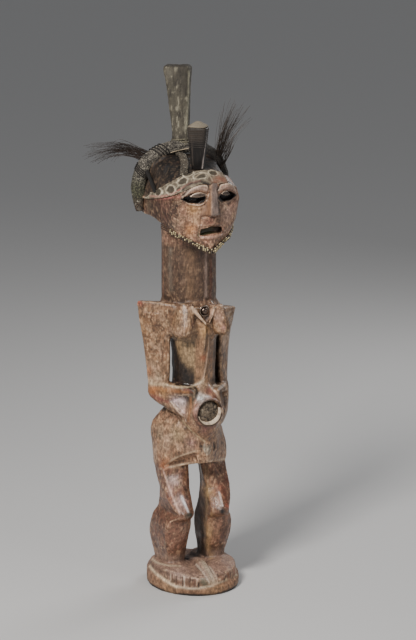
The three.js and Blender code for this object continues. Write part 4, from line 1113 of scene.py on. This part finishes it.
def paint_face(skin):
    """Facets of the nose, pale rims and lids, dark slits and mouth."""
    x, y, z = skin.p.T
    front = y < FACE_BACK
    out = np.abs(x)
    half = np.interp(z, NOSE_HEIGHTS, NOSE_HALF_WIDTHS)
    on_nose = (y < -60) * smooth_step(half + 1, half - 0.5, out) * (z > NOSE_HEIGHTS[0]) * (z < NOSE_TOP)
    ridge = np.interp(z, RIDGE_HEIGHTS, RIDGE_X)
    near = smooth_step(ridge + 0.7, ridge - 0.5, x)
    skin.mix((106, 84, 72), on_nose * near * 0.85)
    skin.mix((128, 94, 70), on_nose * near * smooth_step(624, 610, z) * 0.85)
    skin.mix((116, 101, 94), on_nose * (1 - near) * 0.85)
    streaks = smooth_step(0.0, 0.4, rough(skin.p, (4, 4, 9), 101))
    skin.mix((92, 74, 66), on_nose * (1 - near) * 0.5 * streaks)
    for side in (-1, 1):
        for places, width, colour, share in (
            (EYE_LID, 4.5, (164, 134, 118), 0.85),
            ([(px, pz - 3) for px, pz in EYE_ARCH], 1.1, (226, 200, 176), 0.9),
            (EYE_ARCH, 1.3, (48, 36, 30), 0.9),
            (EYE_RIM, 0.7, (220, 190, 164), 0.9 if side < 0 else 0.35),
            (SLIT_TOP, 0.8, (70, 50, 42), 0.8),
            # painted highlight along the lid's crest
            (EYE_LID, 1.2, (188, 160, 140), 0.6),
        ):
            away = from_face_line(skin, [(side * px, pz) for px, pz in places])
            skin.mix(colour, share * bell(away, width))
    top = np.interp(out, *zip(*SLIT_UPPER))
    bottom = np.interp(out, *zip(*SLIT_LOWER))
    in_slit = smooth_step(-0.7, 0.5, np.minimum(top - z, z - bottom)) * (out > 8) * (out < 46)
    skin.mix((24, 17, 15), in_slit * front)
    in_mouth = smooth_step(-61.5, -59, y) * (out < MOUTH_HALF_WIDTH) * (z > MOUTH_LOWER) * (z < MOUTH_UPPER)
    skin.mix((74, 68, 46), in_mouth * front * smooth_step(18, 2, x))
    skin.mix((56, 38, 28), in_mouth * front * smooth_step(2, 18, x))
    skin.mix((196, 158, 130), 0.35 * bell(x - ridge, 0.7) * (y < -68) * on_nose)
    skin.mix((216, 172, 138), 0.6 * bell(from_face_line(skin, NOSE_SIDE_EDGE), 0.9))


# Places of the small bends of the wood, and how far each goes, in millimetres
MOUTH_CORNER = (-17, 563)
CORNER_SHIFT = (2.0, -2.6)
WAIST_HEIGHT = 326
WAIST_SHIFT = 4.5
INNER_CALF = (-9, -8, 98)
CALF_SWELL = 3.6


def bend_details(skin):
    """Lowers the mouth's right end, narrows the waist at the back and fills out the right calf."""
    x, y, z = skin.p.T
    at_corner = bell(x - MOUTH_CORNER[0], 11) * bell(z - MOUTH_CORNER[1], 10) * (y < -45)
    skin.p[:, 0] += CORNER_SHIFT[0] * at_corner
    skin.p[:, 2] += CORNER_SHIFT[1] * at_corner
    at_waist = bell(z - WAIST_HEIGHT, 13) * smooth_step(12, 24, y) * smooth_step(-8, -16, x) * (x > -32)
    skin.p[:, 0] += WAIST_SHIFT * at_waist
    skin.push(CALF_SWELL * bell(np.linalg.norm(skin.p - INNER_CALF, axis=1), 14))


def mottle(skin, on_crown):
    """Speckle of rubbed grain over all the wood, strongest on the face."""
    p = skin.p
    z = p[:, 2]
    speckle = 0.7 * rough(p, (9, 9, 10), 111) + 1.1 * rough(p, (3.6, 3.6, 4), 112) + 1.1 * rough(p, 2, 113)
    amount = 0.68 + 0.12 * smooth_step(530, 545, z) - 0.4 * on_crown
    amount -= 0.25 * smooth_step(445, 455, z) * (z < 535)
    amount -= 0.35 * between(z, 26, 34, 50, 58)
    skin.scale(np.clip(1 + amount * speckle, 0.4, 1.8))


def figure():
    """The carving: a finer copy of its node, bent, cut, painted and worn."""
    skin = refined("figure_wood", "carved_figure", FIGURE_VOXEL, 2, 0.85)
    skin = subdivided(skin.obj, lambda c: c.z > 528 and c.y < -28)
    skin.smooth(1)
    bend_details(skin)
    surface = skin.tree()
    near_roll, _ = to_line(skin.p, ROLL_PATH)
    skin.push(3.2 * smooth_step(20, 13, near_roll) * (skin.p[:, 2] > 600))
    carve_adze_marks(skin)
    carve_face(skin)
    carve_body(skin, surface)
    free = openness(skin, 55)
    on_crown = paint_regions(skin)
    paint_flecks(skin, on_crown)
    paint_wear_and_shade(skin, free, on_crown)
    paint_spots(skin, surface, WOOD_SPOTS, 0.85)
    mottle(skin, on_crown)
    paint_lines(skin, surface, WOOD_LINES, CURVE_STEPS)
    paint_spot(skin, FAR_BROW_END, 14, (146, 98, 70), 0.9)
    paint_face(skin)
    skin.finish()
    finish = wood_finish()
    settle(skin.obj, finish, ["carved_figure"])
    eyeballs(finish, surface)


# Eye lenses: name, side, distance of the middle from the nose, half width, brightness
EYES = (("eye_right", -1, 24, 11.5, 1.0), ("eye_left", 1, 19.5, 7, 0.6))
LENS_COLUMNS, LENS_ROWS = 25, 16
LENS_HEIGHT = 620.0
LENS_HALF_HEIGHT = 3.0
LENS_DEPTH = 2.3
LENS_FRONT, LENS_BACK = 1.4, -7
LID_HEIGHT = 626


def eyeballs(finish, surface):
    """Lens-shaped eyeball under each lid, with a raised pale outline, in the upper part of the slit."""
    for name, side, centre, reach, brightness in EYES:
        points, tints = [], []
        for k in range(LENS_COLUMNS):
            a = 2 * k / (LENS_COLUMNS - 1) - 1
            x = side * (centre + reach * a)
            half = 0.4 + LENS_HALF_HEIGHT * (1 - a * a)
            middle = LENS_HEIGHT - 1.6 * a * a - 0.8 * a
            lid = surface.ray_cast(Vector((x, -150, LID_HEIGHT)), Vector((0, 1, 0)))[0].y
            for s in range(LENS_ROWS):
                b = math.cos(2 * math.pi * s / LENS_ROWS)
                deep = math.sin(2 * math.pi * s / LENS_ROWS)
                swell = (LENS_FRONT if deep > 0 else LENS_BACK) * abs(deep) * (0.3 + 0.7 * (1 - a * a))
                points.append((x, lid - LENS_DEPTH - swell, middle + half * b))
                outline = abs(b) > 0.85 or abs(a) > 0.85
                tints.append(linear(216, 190, 166) if outline else linear(80, 66, 56))
        obj = add_mesh(name, points, ring_faces(LENS_COLUMNS, LENS_ROWS))
        skin = one_tint(obj, (150, 120, 100), gloss=0.6)
        skin.tint = np.array(tints) * brightness
        skin.finish()
        settle(obj, finish, [])


# The headdress


def on_roll(share):
    """Middle and direction of the roll at a share of its path."""
    at = share * (len(ROLL_PATH) - 1)
    low = min(int(at), len(ROLL_PATH) - 2)
    way = ROLL_PATH[low + 1] - ROLL_PATH[low]
    return ROLL_PATH[low] + way * (at - low), way / np.linalg.norm(way)


def wrap(share, lean, radius):
    """Closed loop of cord round the roll, leaning along it by an angle."""
    steps = 26
    middle, way = on_roll(share)
    side = np.cross(way, [0, 1, 0])
    side /= np.linalg.norm(side)
    deep = np.cross(side, way)
    loop = []
    for k in range(steps + 1):
        angle = 2 * math.pi * k / steps
        out = side * math.cos(angle) * radius + deep * math.sin(angle) * radius * 1.1
        shift = way * math.tan(lean) * radius * math.sin(angle + 0.6)
        loop.append(middle + out + shift)
    return np.array(loop)


def hide_roll():
    """Scaly hide of the roll, dark past its middle and between the scales; returns its surface."""
    skin = refined("hide_roll_skin", "hide_roll", 1.1, 1)
    p = skin.p
    first, second = cells(p, 3.0, 13)
    skin.push(0.5 * (second - first) - 0.3 + 0.6 * rough(p, 7, 17))
    one_tint(skin, (132, 124, 112), 0.5)
    _, along = to_line(p, ROLL_PATH)
    skin.mix((96, 98, 66), 0.8 * smooth_step(0.24, 0.1, along))
    skin.mix((94, 72, 58), 0.85 * smooth_step(0.1, 0.04, along))
    skin.mix((50, 43, 38), 0.8 * smooth_step(0.5, 0.6, along))
    skin.mix((186, 178, 160), 0.6 * smooth_step(0.1, 0.5, rough(p, 5, 19)) * (along < 0.55))
    skin.mix((30, 24, 21), 0.9 * smooth_step(0.24, 0.04, second - first))
    skin.finish()
    settle(skin.obj, hide_finish(), ["hide_roll"])
    return skin.tree()


# Lower front edge of the roll between the cord and the short horn, as places in the photograph
ROLL_EDGE = [(170.5, 152.6), (176, 151), (182, 149.6), (189, 148.2)]

# Bindings of the roll: name, share of the path and step to the next wrap, lean, cord radius, colour, node
BINDINGS = (
    ("cord_wraps", 0.334, 0.015, -0.4, 0.9, (28, 23, 20), "roll_binding_upper"),
    ("cord_binding", 0.203, 0.009, 0.35, 0.85, (34, 28, 24), "roll_binding_lower"),
)
WRAPS = 4


def roll_highlight_lip(surface):
    """Thin pale tube along the lower front edge of the roll: a painted highlight on that edge."""
    edge = curve_through(seen_line(surface, ROLL_EDGE), 6) + [0, 0.5, 0]
    lip = tubes("roll_highlight_lip", [edge], [0.9], 8)
    one_tint(lip, (186, 168, 140), 0.3).finish()
    settle(lip, plain_finish("highlight_lip", 0.7, 0.5, 1.5, 0.25, 0.3), [])


def roll_cords():
    """The bindings wound round the roll, and the strap that hangs from it."""
    cord = plain_finish("dark_cord", 0.85, 0.5, 0.8, 0.4, 0.5)
    for name, share, step, lean, radius, colour, node in BINDINGS:
        loops = [wrap(share + step * k, lean, ROLL_RADIUS + 0.1) for k in range(WRAPS)]
        made = tubes(name, loops, [radius] * WRAPS, 6)
        one_tint(made, colour, 0.4).finish()
        settle(made, cord, [node])
    skin = refined("strap_skin", "side_strap", 0.7, 1)
    skin.push(0.5 + 0.4 * rough(skin.p, 6, 105))
    one_tint(skin, (22, 18, 16), 0.3)
    skin.finish()
    settle(skin.obj, cord, ["side_strap"])


def crown_strip():
    """Strip of hide over the crown, with pale and dark flecks."""
    skin = refined("strip_skin", "crown_strip", 0.9, 1)
    skin.push(0.4 * rough(skin.p, 3, 23))
    one_tint(skin, (98, 88, 74), 0.4)
    skin.mix((196, 186, 164), smooth_step(0.2, 0.45, rough(skin.p, 2.4, 27)))
    skin.mix((44, 34, 28), smooth_step(0.2, 0.45, rough(skin.p, 3, 29)))
    skin.finish()
    settle(skin.obj, hide_finish(), ["crown_strip"])


# Dark ovals of the brow band: picture place of the middle, half length and half height in millimetres, tilt
BAND_OVALS = (
    ((158.2, 192), 5.2, 4.6, 0.5),
    ((170.8, 189.8), 5.2, 5.6, 0.7),
    ((182.5, 181.5), 6.6, 4.0, 0.35),
    ((199.5, 176.2), 8.4, 3.8, 0.1),
    ((169.6, 182.3), 4.6, 3.2, 0.5),
    ((189, 173.8), 6.4, 2.6, 0.3),
    ((213, 173.2), 6.0, 3.0, -0.2),
    ((178.5, 189.5), 3.4, 2.6, 0.4),
)


# Stains and lines of the brow band, as for the wood
BAND_STAINS = ((214, 182), (219, 178), (224, 180), (229, 178))
BAND_SPOTS = tuple((pixel, 6, (128, 84, 66), 0.9) for pixel in BAND_STAINS)
BAND_EDGE = (
    ([(150, 196), (160, 196.5), (172, 194), (181, 189), (190, 183.5), (200, 181)], 1.5, (190, 122, 108), 0.7),
)
BAND_FOLDS = (
    ([(195.5, 177.5), (200, 173.8), (205, 173), (209.5, 176), (212.5, 181)], 1.1, (196, 176, 148), 0.75),
    ([(183, 190), (189, 184.5), (199, 181.5), (208, 184)], 2.6, (34, 27, 23), 1.1),
)


def brow_band():
    """Dried skin with a net of wrinkles, pale rings round dark ovals, and stains."""
    skin = refined("brow_skin", "brow_band", 0.85, 1)
    surface = skin.tree()
    p = skin.p
    skin.push(0.35 * rough(p, 6, 43))
    one_tint(skin, (98, 87, 72), 0.45)
    first, second = cells(p, (9, 9, 7), 45)
    net = smooth_step(0.32, 0.06, second - first + 0.15 * rough(p, 3, 46))
    skin.mix((190, 174, 148), 0.5 * net * (0.6 + rough(p, 4, 49)))
    skin.push(0.35 * net)
    skin.mix((70, 62, 52), smooth_step(0.1, 0.4, rough(p, 3, 48)) * 0.6)
    for pixel, half_long, half_high, tilt in BAND_OVALS:
        way = RIGHT * math.cos(tilt) + UP * math.sin(tilt)
        rise = UP * math.cos(tilt) - RIGHT * math.sin(tilt)
        off = p - seen(surface, *pixel)
        reach = np.sqrt(((off @ way) / half_long) ** 2 + ((off @ rise) / half_high) ** 2)
        reach = reach * 0.87 * (1 + 0.35 * rough(p, 5, 47)) + 9 * (np.linalg.norm(off, axis=1) > 16)
        inside = smooth_step(0.95, 0.7, reach)
        ring = bell(reach - 1.08, 0.12)
        skin.mix((212, 198, 172), ring * (0.62 + 0.9 * rough(p, 4, 50)))
        skin.mix((58, 51, 40), 0.85 * inside)
        skin.push(0.5 * ring - 0.5 * inside)
    paint_lines(skin, surface, BAND_EDGE, 4)
    paint_spots(skin, surface, BAND_SPOTS)
    paint_spot(skin, FAR_BROW_END, 15, (132, 88, 64), 1.0)
    paint_lines(skin, surface, BAND_FOLDS, 4)
    skin.finish()
    finish = plain_finish("spotted_skin", 0.85, 0.6, 1.2, 0.22, 0.35)
    settle(skin.obj, finish, ["brow_band"])


# Both horns are turned by the same angle about the upright
HORN_TURN = math.cos(-0.68), math.sin(-0.68)


def around_horn(middle, half, deep, power, steps):
    """Angle and place of each point of a loop round a horn; a power below 1 makes the loop squarer."""
    for a in np.linspace(0, 2 * math.pi, steps):
        c = math.copysign(abs(math.cos(a)) ** power, math.cos(a)) * half
        s = math.copysign(abs(math.sin(a)) ** power, math.sin(a)) * half * deep
        x = middle[0] + c * HORN_TURN[0] - s * HORN_TURN[1]
        y = middle[1] + c * HORN_TURN[1] + s * HORN_TURN[0]
        yield a, x, y


# Middle of the tall horn by height, its mouth, its stains and edges, and its collar's rings: height, half
TALL_HORN_HEIGHTS = [676, 715, 745, 775, 797]
TALL_HORN_MIDDLE_X = [0.5, 1.4]
TALL_HORN_MIDDLE_Y = [45, 49, 53, 57, 59.5]
TALL_HORN_MOUTH = (1.4, 59.5)
TALL_HORN_SPOTS = (
    ((183, 76), 13, (34, 29, 26), 1.0),
    ((185, 90), 10, (44, 38, 33), 0.8),
    ((168, 74), 8, (112, 106, 94), 0.6),
)
TALL_HORN_LINES = (
    ([(189, 72), (188.5, 95), (186.5, 128)], 2.4, (190, 182, 156), 0.8),
    ([(164.5, 70), (168, 100), (172, 130)], 1.5, (150, 142, 120), 0.5),
)
COLLAR_RINGS = ((679.5, 15.0), (683, 14.2), (686.5, 13.4))


def tall_horn():
    """Horn in a dusty hide cover, with two long grooves, a dished mouth and a collar of hide."""
    skin = refined("tall_horn_skin", "tall_horn", 1.3, 2)
    surface = skin.tree()
    p = skin.p
    z = p[:, 2]
    skin.push(0.9 * rough(p, (9, 9, 26), 63) + 0.5 * rough(p, 4, 64))
    middle_x = np.interp(z, TALL_HORN_HEIGHTS[::4], TALL_HORN_MIDDLE_X)
    middle_y = np.interp(z, TALL_HORN_HEIGHTS, TALL_HORN_MIDDLE_Y)
    across = (p[:, 0] - middle_x) * HORN_TURN[0] + (p[:, 1] - middle_y) * HORN_TURN[1]
    groove = bell(across - 7.5, 1.3) + 0.6 * bell(across + 4, 1.1)
    skin.push(-0.7 * groove * (z < 792))
    inside = smooth_step(794.5, 796.5, z)
    from_mouth = np.hypot(p[:, 0] - TALL_HORN_MOUTH[0], p[:, 1] - TALL_HORN_MOUTH[1])
    skin.p[:, 2] -= 2.5 * inside * smooth_step(13, 6, from_mouth)
    one_tint(skin, (78, 72, 60), 0.45)
    skin.mix((48, 42, 35), 0.9 * smooth_step(0.03, 0.35, rough(p, (5, 5, 16), 67)))
    skin.mix((170, 162, 140), 0.45 * smooth_step(0.1, 0.38, rough(p, (2.4, 2.4, 8), 69)))
    skin.mix((46, 40, 34), 0.55 * groove)
    paint_spots(skin, surface, TALL_HORN_SPOTS)
    paint_lines(skin, surface, TALL_HORN_LINES)
    skin.mix((50, 44, 38), 0.8 * inside)
    skin.finish()
    settle(skin.obj, horn_cover_finish(), ["tall_horn"])
    rings = []
    for height, half in COLLAR_RINGS:
        middle = 0.5, 45.3 + (height - 679) * 0.08
        loop = around_horn(middle, half, 0.8, 1.0, 25)
        rings.append([(x, y, height + 0.8 * math.sin(a + height)) for a, x, y in loop])
    collar = tubes("horn_collar", rings, [1.5] * len(rings), 6)
    one_tint(collar, (128, 120, 100), 0.5).finish()
    settle(collar, hide_finish(), [])


# Lines on the short horn: a pale painted highlight down its right edge and over its top, and a faint line
# down its left side
SHORT_HORN_LINES = (
    ([(206.5, 137), (204.5, 152), (202.5, 168)], 1.2, (216, 200, 190), 1.1),
    ([(208, 126), (207.3, 134)], 1.5, (190, 174, 164), 0.9),
    ([(191.5, 136), (192, 150), (193, 165)], 1.0, (92, 80, 70), 0.4),
)
SHORT_HORN_MIDDLE = (-7.3, -31.7)
SHORT_HORN_HEIGHTS = [682, 700, 711]
SHORT_HORN_HALF_WIDTHS = [11.8, 13.6, 14.8]
HORN_WRAPS = 9
LOWEST_WRAP = 686
WRAP_PITCH = 3.1
PLUG_RISE = 3.2


def short_horn():
    """Polished dark horn with wraps of fine cord, and the plug of packed clay in its mouth."""
    skin = refined("short_horn_skin", "short_horn", 0.9, 1)
    surface = skin.tree()
    p = skin.p
    skin.push(0.35 * rough(p, (7, 7, 20), 73))
    one_tint(skin, (20, 17, 16), 0.3, gloss=0.7)
    skin.mix((40, 35, 31), 0.5 * smooth_step(0.1, 0.45, rough(p, (3, 3, 14), 74)))
    skin.mix((62, 54, 46), 0.6 * smooth_step(690, 700, p[:, 2] + 3 * rough(p, 4, 75)))
    # Painted highlight down the horn's right edge
    paint_lines(skin, surface, SHORT_HORN_LINES)
    skin.finish()
    polished = Finish("polished_horn", roughness=0.5, gloss_roughness=0.3, specular=0.35)
    streak = polished.noise((1.2, 1.2, 12), detail=4)
    polished.shade(streak, 0.3, 0.7, 0.7, 1.5)
    polished.raise_by(streak, 0.4)
    settle(skin.obj, polished.done(), ["short_horn"])
    loops = []
    for k in range(HORN_WRAPS):
        height = LOWEST_WRAP + WRAP_PITCH * k
        sway = 0.4 * math.sin(3 * k)
        half = np.interp(height, SHORT_HORN_HEIGHTS, SHORT_HORN_HALF_WIDTHS)
        loop = around_horn(SHORT_HORN_MIDDLE, half, 0.87, 0.45, 33)
        loops.append([(x, y, height + sway * math.sin(a)) for a, x, y in loop])
    wraps = tubes("horn_wraps", loops, [0.6] * len(loops), 6)
    one_tint(wraps, (52, 45, 40), 0.6).finish()
    settle(wraps, plain_finish("horn_cord", 0.7, 0.4, 0.8, 0.4, 0.4), [])
    plug = refined("plug_skin", "horn_plug", 0.7, 1)
    height = plug.p[:, 2]
    on_top = smooth_step(height.max() - 5, height.max() - 2, height)
    from_middle = np.linalg.norm(plug.p - plug.p[on_top > 0.9].mean(axis=0), axis=1)
    plug.p[:, 2] += PLUG_RISE * on_top * bell(from_middle, 7)
    plug.push(0.7 * rough(plug.p, 4, 77))
    one_tint(plug, (120, 110, 94), 0.4)
    plug.mix((112, 100, 86), smooth_step(0.1, 0.4, rough(plug.p, 4, 79)) * 0.6)
    plug.finish()
    settle(plug.obj, plain_finish("packed_clay", 0.85, 0.6, 1.4, 0.25, 0.5), ["horn_plug"])


HAIR_POINTS = 13
RIGHT_HAIRS, LEFT_HAIRS, LEFT_SHORT_HAIRS = 80, 100, 14
LEFT_ROOT = np.array([55, 31, 646])
LEFT_SHORT_ROOT = np.array([57, 27, 642])
LEFT_TUFT_SIDE = 108


def strand(root, middle, tip, curl):
    """One hair on a curve from root to tip, with a light random wave."""
    t = np.linspace(0, 1, HAIR_POINTS)[:, None]
    path = root * (1 - t) ** 2 + 2 * middle * t * (1 - t) + tip * t**2
    turn = rng.uniform(0, 2 * math.pi, 3)
    return path + curl * t * np.sin(4.5 * t + turn)


def right_tuft(finish):
    """Hairs that spread from the right side of the crown."""
    paths, radii = [], []
    for _ in range(RIGHT_HAIRS):
        fan = rng.uniform(-1, 1)
        start = rng.uniform(0, 1)
        root = np.array([-44 - 16 * start, 58 - 2 * start, 667 - 12 * start]) + rng.normal(0, 0.9, 3)
        reach = rng.uniform(0.5, 1.05)
        tip = np.array([-50 - 88 * reach, 60 + 25 * reach, 672 + 15 * fan - 6 * start])
        tip += rng.normal(0, 2.2, 3)
        middle = np.array([-86 - 6 * start, 69, 689 + 9 * fan - 10 * start])
        middle += rng.normal(0, 2.5, 3)
        paths.append(strand(root, middle, tip, 1.3))
        radii.append(np.linspace(0.32, 0.15, HAIR_POINTS) * rng.uniform(0.7, 1.15))
    made = tubes("hair_right", paths, radii, 4)
    one_tint(made, (52, 41, 34), 0.6, gloss=0.5).finish()
    settle(made, finish, ["hair_tuft_right"])


def left_tuft(finish):
    """Hairs that rise from the left side of the crown, and short ones round their root."""
    paths, radii = [], []
    for _ in range(LEFT_HAIRS):
        fan = rng.normal(0, 0.6)
        root = LEFT_ROOT + rng.normal(0, 1, 3) * [3.5, 2, 2.5]
        reach = rng.uniform(0.4, 1.0)
        lean = 0.3 + 0.26 * fan
        far = 104 * reach
        tip = root + np.array([math.sin(lean) * far, -16 * reach + 4 * fan, math.cos(lean) * far * 0.98])
        tip[0] = min(tip[0], LEFT_TUFT_SIDE)
        middle = root + np.array([4 + 8 * fan, -2, 0.45 * far])
        paths.append(strand(root, middle, tip, 1.6))
        radii.append(np.linspace(0.4, 0.14, HAIR_POINTS) * rng.uniform(0.7, 1.15))
    for _ in range(LEFT_SHORT_HAIRS):
        root = LEFT_SHORT_ROOT + rng.normal(0, 1.2, 3)
        tip = root + np.array([18, -8, 38]) + rng.normal(0, 4, 3)
        paths.append(strand(root, root + np.array([9, -4, 10]), tip, 0.8))
        radii.append(np.linspace(0.45, 0.2, HAIR_POINTS))
    made = tubes("hair_left", paths, radii, 4)
    one_tint(made, (64, 52, 43), 0.6, gloss=0.5).finish()
    settle(made, finish, ["hair_tuft_left"])


def hair():
    """Both tufts, in one finish."""
    finish = plain_finish("coarse_hair", 0.5, 0.35, 2.0, 0.35, 0.0)
    right_tuft(finish)
    left_tuft(finish)


# Profile of a bead, from end to end: place along it and half width, as shares of its length and radius
BEAD_PROFILE = ((-0.5, 0.5), (-0.42, 0.9), (0, 1.0), (0.42, 0.9), (0.5, 0.5))
BEAD_SIDES = 9
BEAD_PITCH = 3.3
BARE_END = 19
CHIN_REACH = 22

# The string from the right jaw corner to below the chin; the left side mirrors it
JAW_STRING = [
    (-58, -9, 566.5), (-50, -29, 560), (-36, -48, 550.5),
    (-24, -54.5, 544), (-12, -61, 538), (0, -67.5, 533.5),
]

# Rows of beads: distance out from the string, height, share lost at the chin and away from it
BEAD_ROWS = ((1.0, 2.3, 0.1, 0.1), (1.7, -0.4, 0.05, 0.05), (0.9, -3.0, 0.1, 0.7))


def bead(middle, way, radius, length):
    """Points of one short barrel bead on a string running along the given way."""
    lean = np.cross(way, [0, 0, 1.0])
    lean /= np.linalg.norm(lean)
    rise = np.cross(lean, way)
    points = []
    for along, wide in BEAD_PROFILE:
        for s in range(BEAD_SIDES):
            angle = 2 * math.pi * s / BEAD_SIDES
            out = (lean * math.cos(angle) + rise * math.sin(angle)) * radius * wide
            points.append(middle + way * along * length + out)
    return points


def on_string(path, length, at):
    """Place on a path at a distance from its start."""
    return np.array([np.interp(at, length, path[:, axis]) for axis in range(3)])


def jaw_beads():
    """Three rows of small beads under the jaw, with gaps where beads are lost, and their strings."""
    far = [(-x, y, z) for x, y, z in JAW_STRING[-2::-1]]
    path = curve_through(JAW_STRING + far, 8)
    length = np.concatenate([[0], np.cumsum(np.linalg.norm(np.diff(path, axis=0), axis=1))])
    points, faces, tints = [], [], []
    for out, drop, lost_at_chin, lost_beside in BEAD_ROWS:
        for k in range(int(length[-1] / BEAD_PITCH)):
            at = (k + 0.5) * BEAD_PITCH + rng.normal(0, 0.12)
            if not BARE_END < at < length[-1]:
                continue
            off_chin = abs(at - length[-1] / 2) > CHIN_REACH
            if rng.random() < (lost_beside if off_chin else lost_at_chin):
                continue
            middle = on_string(path, length, at)
            ahead = on_string(path, length, min(at + 1, length[-1])) - middle
            ahead /= np.linalg.norm(ahead)
            outward = np.array([middle[0], middle[1] - 5, 0.0])
            outward /= np.linalg.norm(outward)
            place = middle + outward * out + np.array([0, 0, drop]) + rng.normal(0, 0.09, 3)
            made = bead(place, ahead, rng.uniform(1.15, 1.35), rng.uniform(1.9, 2.5))
            faces += ring_faces(len(BEAD_PROFILE), BEAD_SIDES, len(points))
            points += made
            dark = rng.random() < 0.3
            colour = linear(58, 46, 38) if dark else linear(204, 186, 144) * rng.uniform(0.45, 1.05)
            tints += [colour] * len(made)
    obj = add_mesh("jaw_bead_rows", points, faces)
    skin = one_tint(obj, (220, 205, 170), gloss=0.6)
    skin.tint = np.array(tints)
    skin.finish()
    settle(obj, plain_finish("worn_beads", 0.55, 0.25, 1.0, 0.2, 0.1), ["jaw_beads"])
    strings = [path + np.array([0, 0, row[1]]) for row in BEAD_ROWS]
    cord = tubes("bead_strings", strings, [0.75] * len(strings), 6)
    one_tint(cord, (62, 46, 36), 0.4).finish()
    settle(cord, plain_finish("bead_cord", 0.85, 0.5, 0.8, 0.3, 0.3), [])


# The chest stud and the belly charge


# The stud's profile from its rim at the back to its tip: radius and distance forward
STUD_PROFILE = (
    (8.6, 0.2), (8.8, 0.8), (8.6, 1.7), (8.0, 2.3), (7.3, 2.3), (6.8, 1.8), (6.5, 1.2), (6.0, 1.3),
    (5.8, 2.2), (5.3, 3.4), (4.4, 4.4), (3.2, 5.2), (1.8, 5.7), (0.5, 5.85),
)
STUD_MIDDLE = (0, -38, 437)
STUD_SIDES = 40
STUD_WOBBLE = 0.012


def turned(name, profile, middle, sides, wobble):
    """Lathe shape that faces forward, a little uneven round its rim."""
    points = []
    for radius, out in profile:
        for s in range(sides):
            angle = 2 * math.pi * s / sides
            reach = radius * (1 + wobble * math.sin(5 * angle + 3 * out))
            across, rise = reach * math.cos(angle), reach * math.sin(angle)
            points.append((middle[0] + across, middle[1] - out, middle[2] + rise))
    return add_mesh(name, points, ring_faces(len(profile), sides))


def chest_stud():
    """Domed metal stud with a dark groove and a bright rim round the dome."""
    obj = turned("stud_metal", STUD_PROFILE, STUD_MIDDLE, STUD_SIDES, STUD_WOBBLE)
    skin = one_tint(obj, (104, 88, 78), 0.4, gloss=0.9)
    ring = np.hypot(skin.p[:, 0], skin.p[:, 2] - STUD_MIDDLE[2])
    skin.mix((34, 26, 23), 0.9 * bell(ring - 6.3, 0.7))
    skin.mix((178, 156, 138), 0.9 * bell(ring - 7.8, 0.7))
    skin.finish()
    finish = plain_finish("worn_metal", 0.5, 0.2, 1.6, 0.3, 0.25, metallic=0.85)
    settle(obj, finish, ["chest_stud"])


def belly_charge():
    """Gritty paste packed into the cavity, cracked, and darkest low on its left."""
    skin = refined("charge_paste", "belly_charge", 0.8, 1)
    p = skin.p
    front = smooth_step(-46, -49, p[:, 1])
    first, second = cells(p + 1.5 * rough(p, 4, 82)[:, None], 4.5, 83)
    skin.push(front * (3.4 + 2.2 * rough(p, 6, 81) + 0.7 * (second - first) - 0.4))
    one_tint(skin, (116, 101, 84), 0.5)
    skin.mix((34, 29, 26), 0.9 * smooth_step(0.12, 0.42, rough(p, 4.5, 85)))
    lower_left = (p[:, 0] * 0.5 - (p[:, 2] - CAVITY_HEIGHT)) / 19
    skin.mix((22, 18, 16), 0.9 * smooth_step(0.55, 0.95, lower_left))
    skin.mix((40, 34, 30), 0.8 * smooth_step(0.16, 0.03, second - first))
    skin.mix((168, 152, 130), 0.5 * smooth_step(0.15, 0.45, rough(p, 3.2, 87)))
    skin.finish()
    settle(skin.obj, plain_finish("packed_paste", 0.9, 0.5, 1.0, 0.45, 0.8), ["belly_charge"])
    pale_crescent()


BANK_COLUMNS = 37
BANK_START, BANK_SWEEP = 192, 188
BANK_FRONT = -60


def pale_crescent():
    """Pale crescent along the lower side of the cavity, from the charge up to the lip: partly clay smeared
    there and partly a painted light on the cavity's lower wall.
    """
    points = []
    for k in range(BANK_COLUMNS):
        share = k / (BANK_COLUMNS - 1)
        angle = math.radians(BANK_START + BANK_SWEEP * share)
        swell = math.sin(math.pi * share ** 1.2) ** 0.8
        inner = 18.2 - 5.0 * swell
        ring = (
            (18.6, -9), (18.7, -1.2 - 0.6 * (1 - swell)), (17.8, -0.8 - 1.2 * (1 - swell)),
            (inner + 1.2, -5.2), (inner, -7), (inner, -11),
        )
        for radius, out in ring:
            across, rise = radius * math.cos(angle), radius * math.sin(angle)
            points.append((across, BANK_FRONT - out, CAVITY_HEIGHT + rise))
    faces = [face[:1] + face[:0:-1] for face in ring_faces(BANK_COLUMNS, len(ring))]
    skin = one_tint(add_mesh("pale_crescent", points, faces), (222, 200, 174), 0.25, gloss=0.3)
    skin.push(0.35 * rough(skin.p, 5, 103))
    skin.mix((150, 126, 104), 0.7 * smooth_step(0.1, 0.4, rough(skin.p, 4, 104)))
    skin.finish()
    settle(skin.obj, plain_finish("clay_and_painted_light", 0.7, 0.4, 1.4, 0.25, 0.4), [])


def main():
    """The stage, then each piece in turn."""
    add_camera()
    add_floor()
    add_lights()
    figure()
    roll_highlight_lip(hide_roll())
    roll_cords()
    crown_strip()
    brow_band()
    tall_horn()
    short_horn()
    hair()
    jaw_beads()
    chest_stud()
    belly_charge()


main()
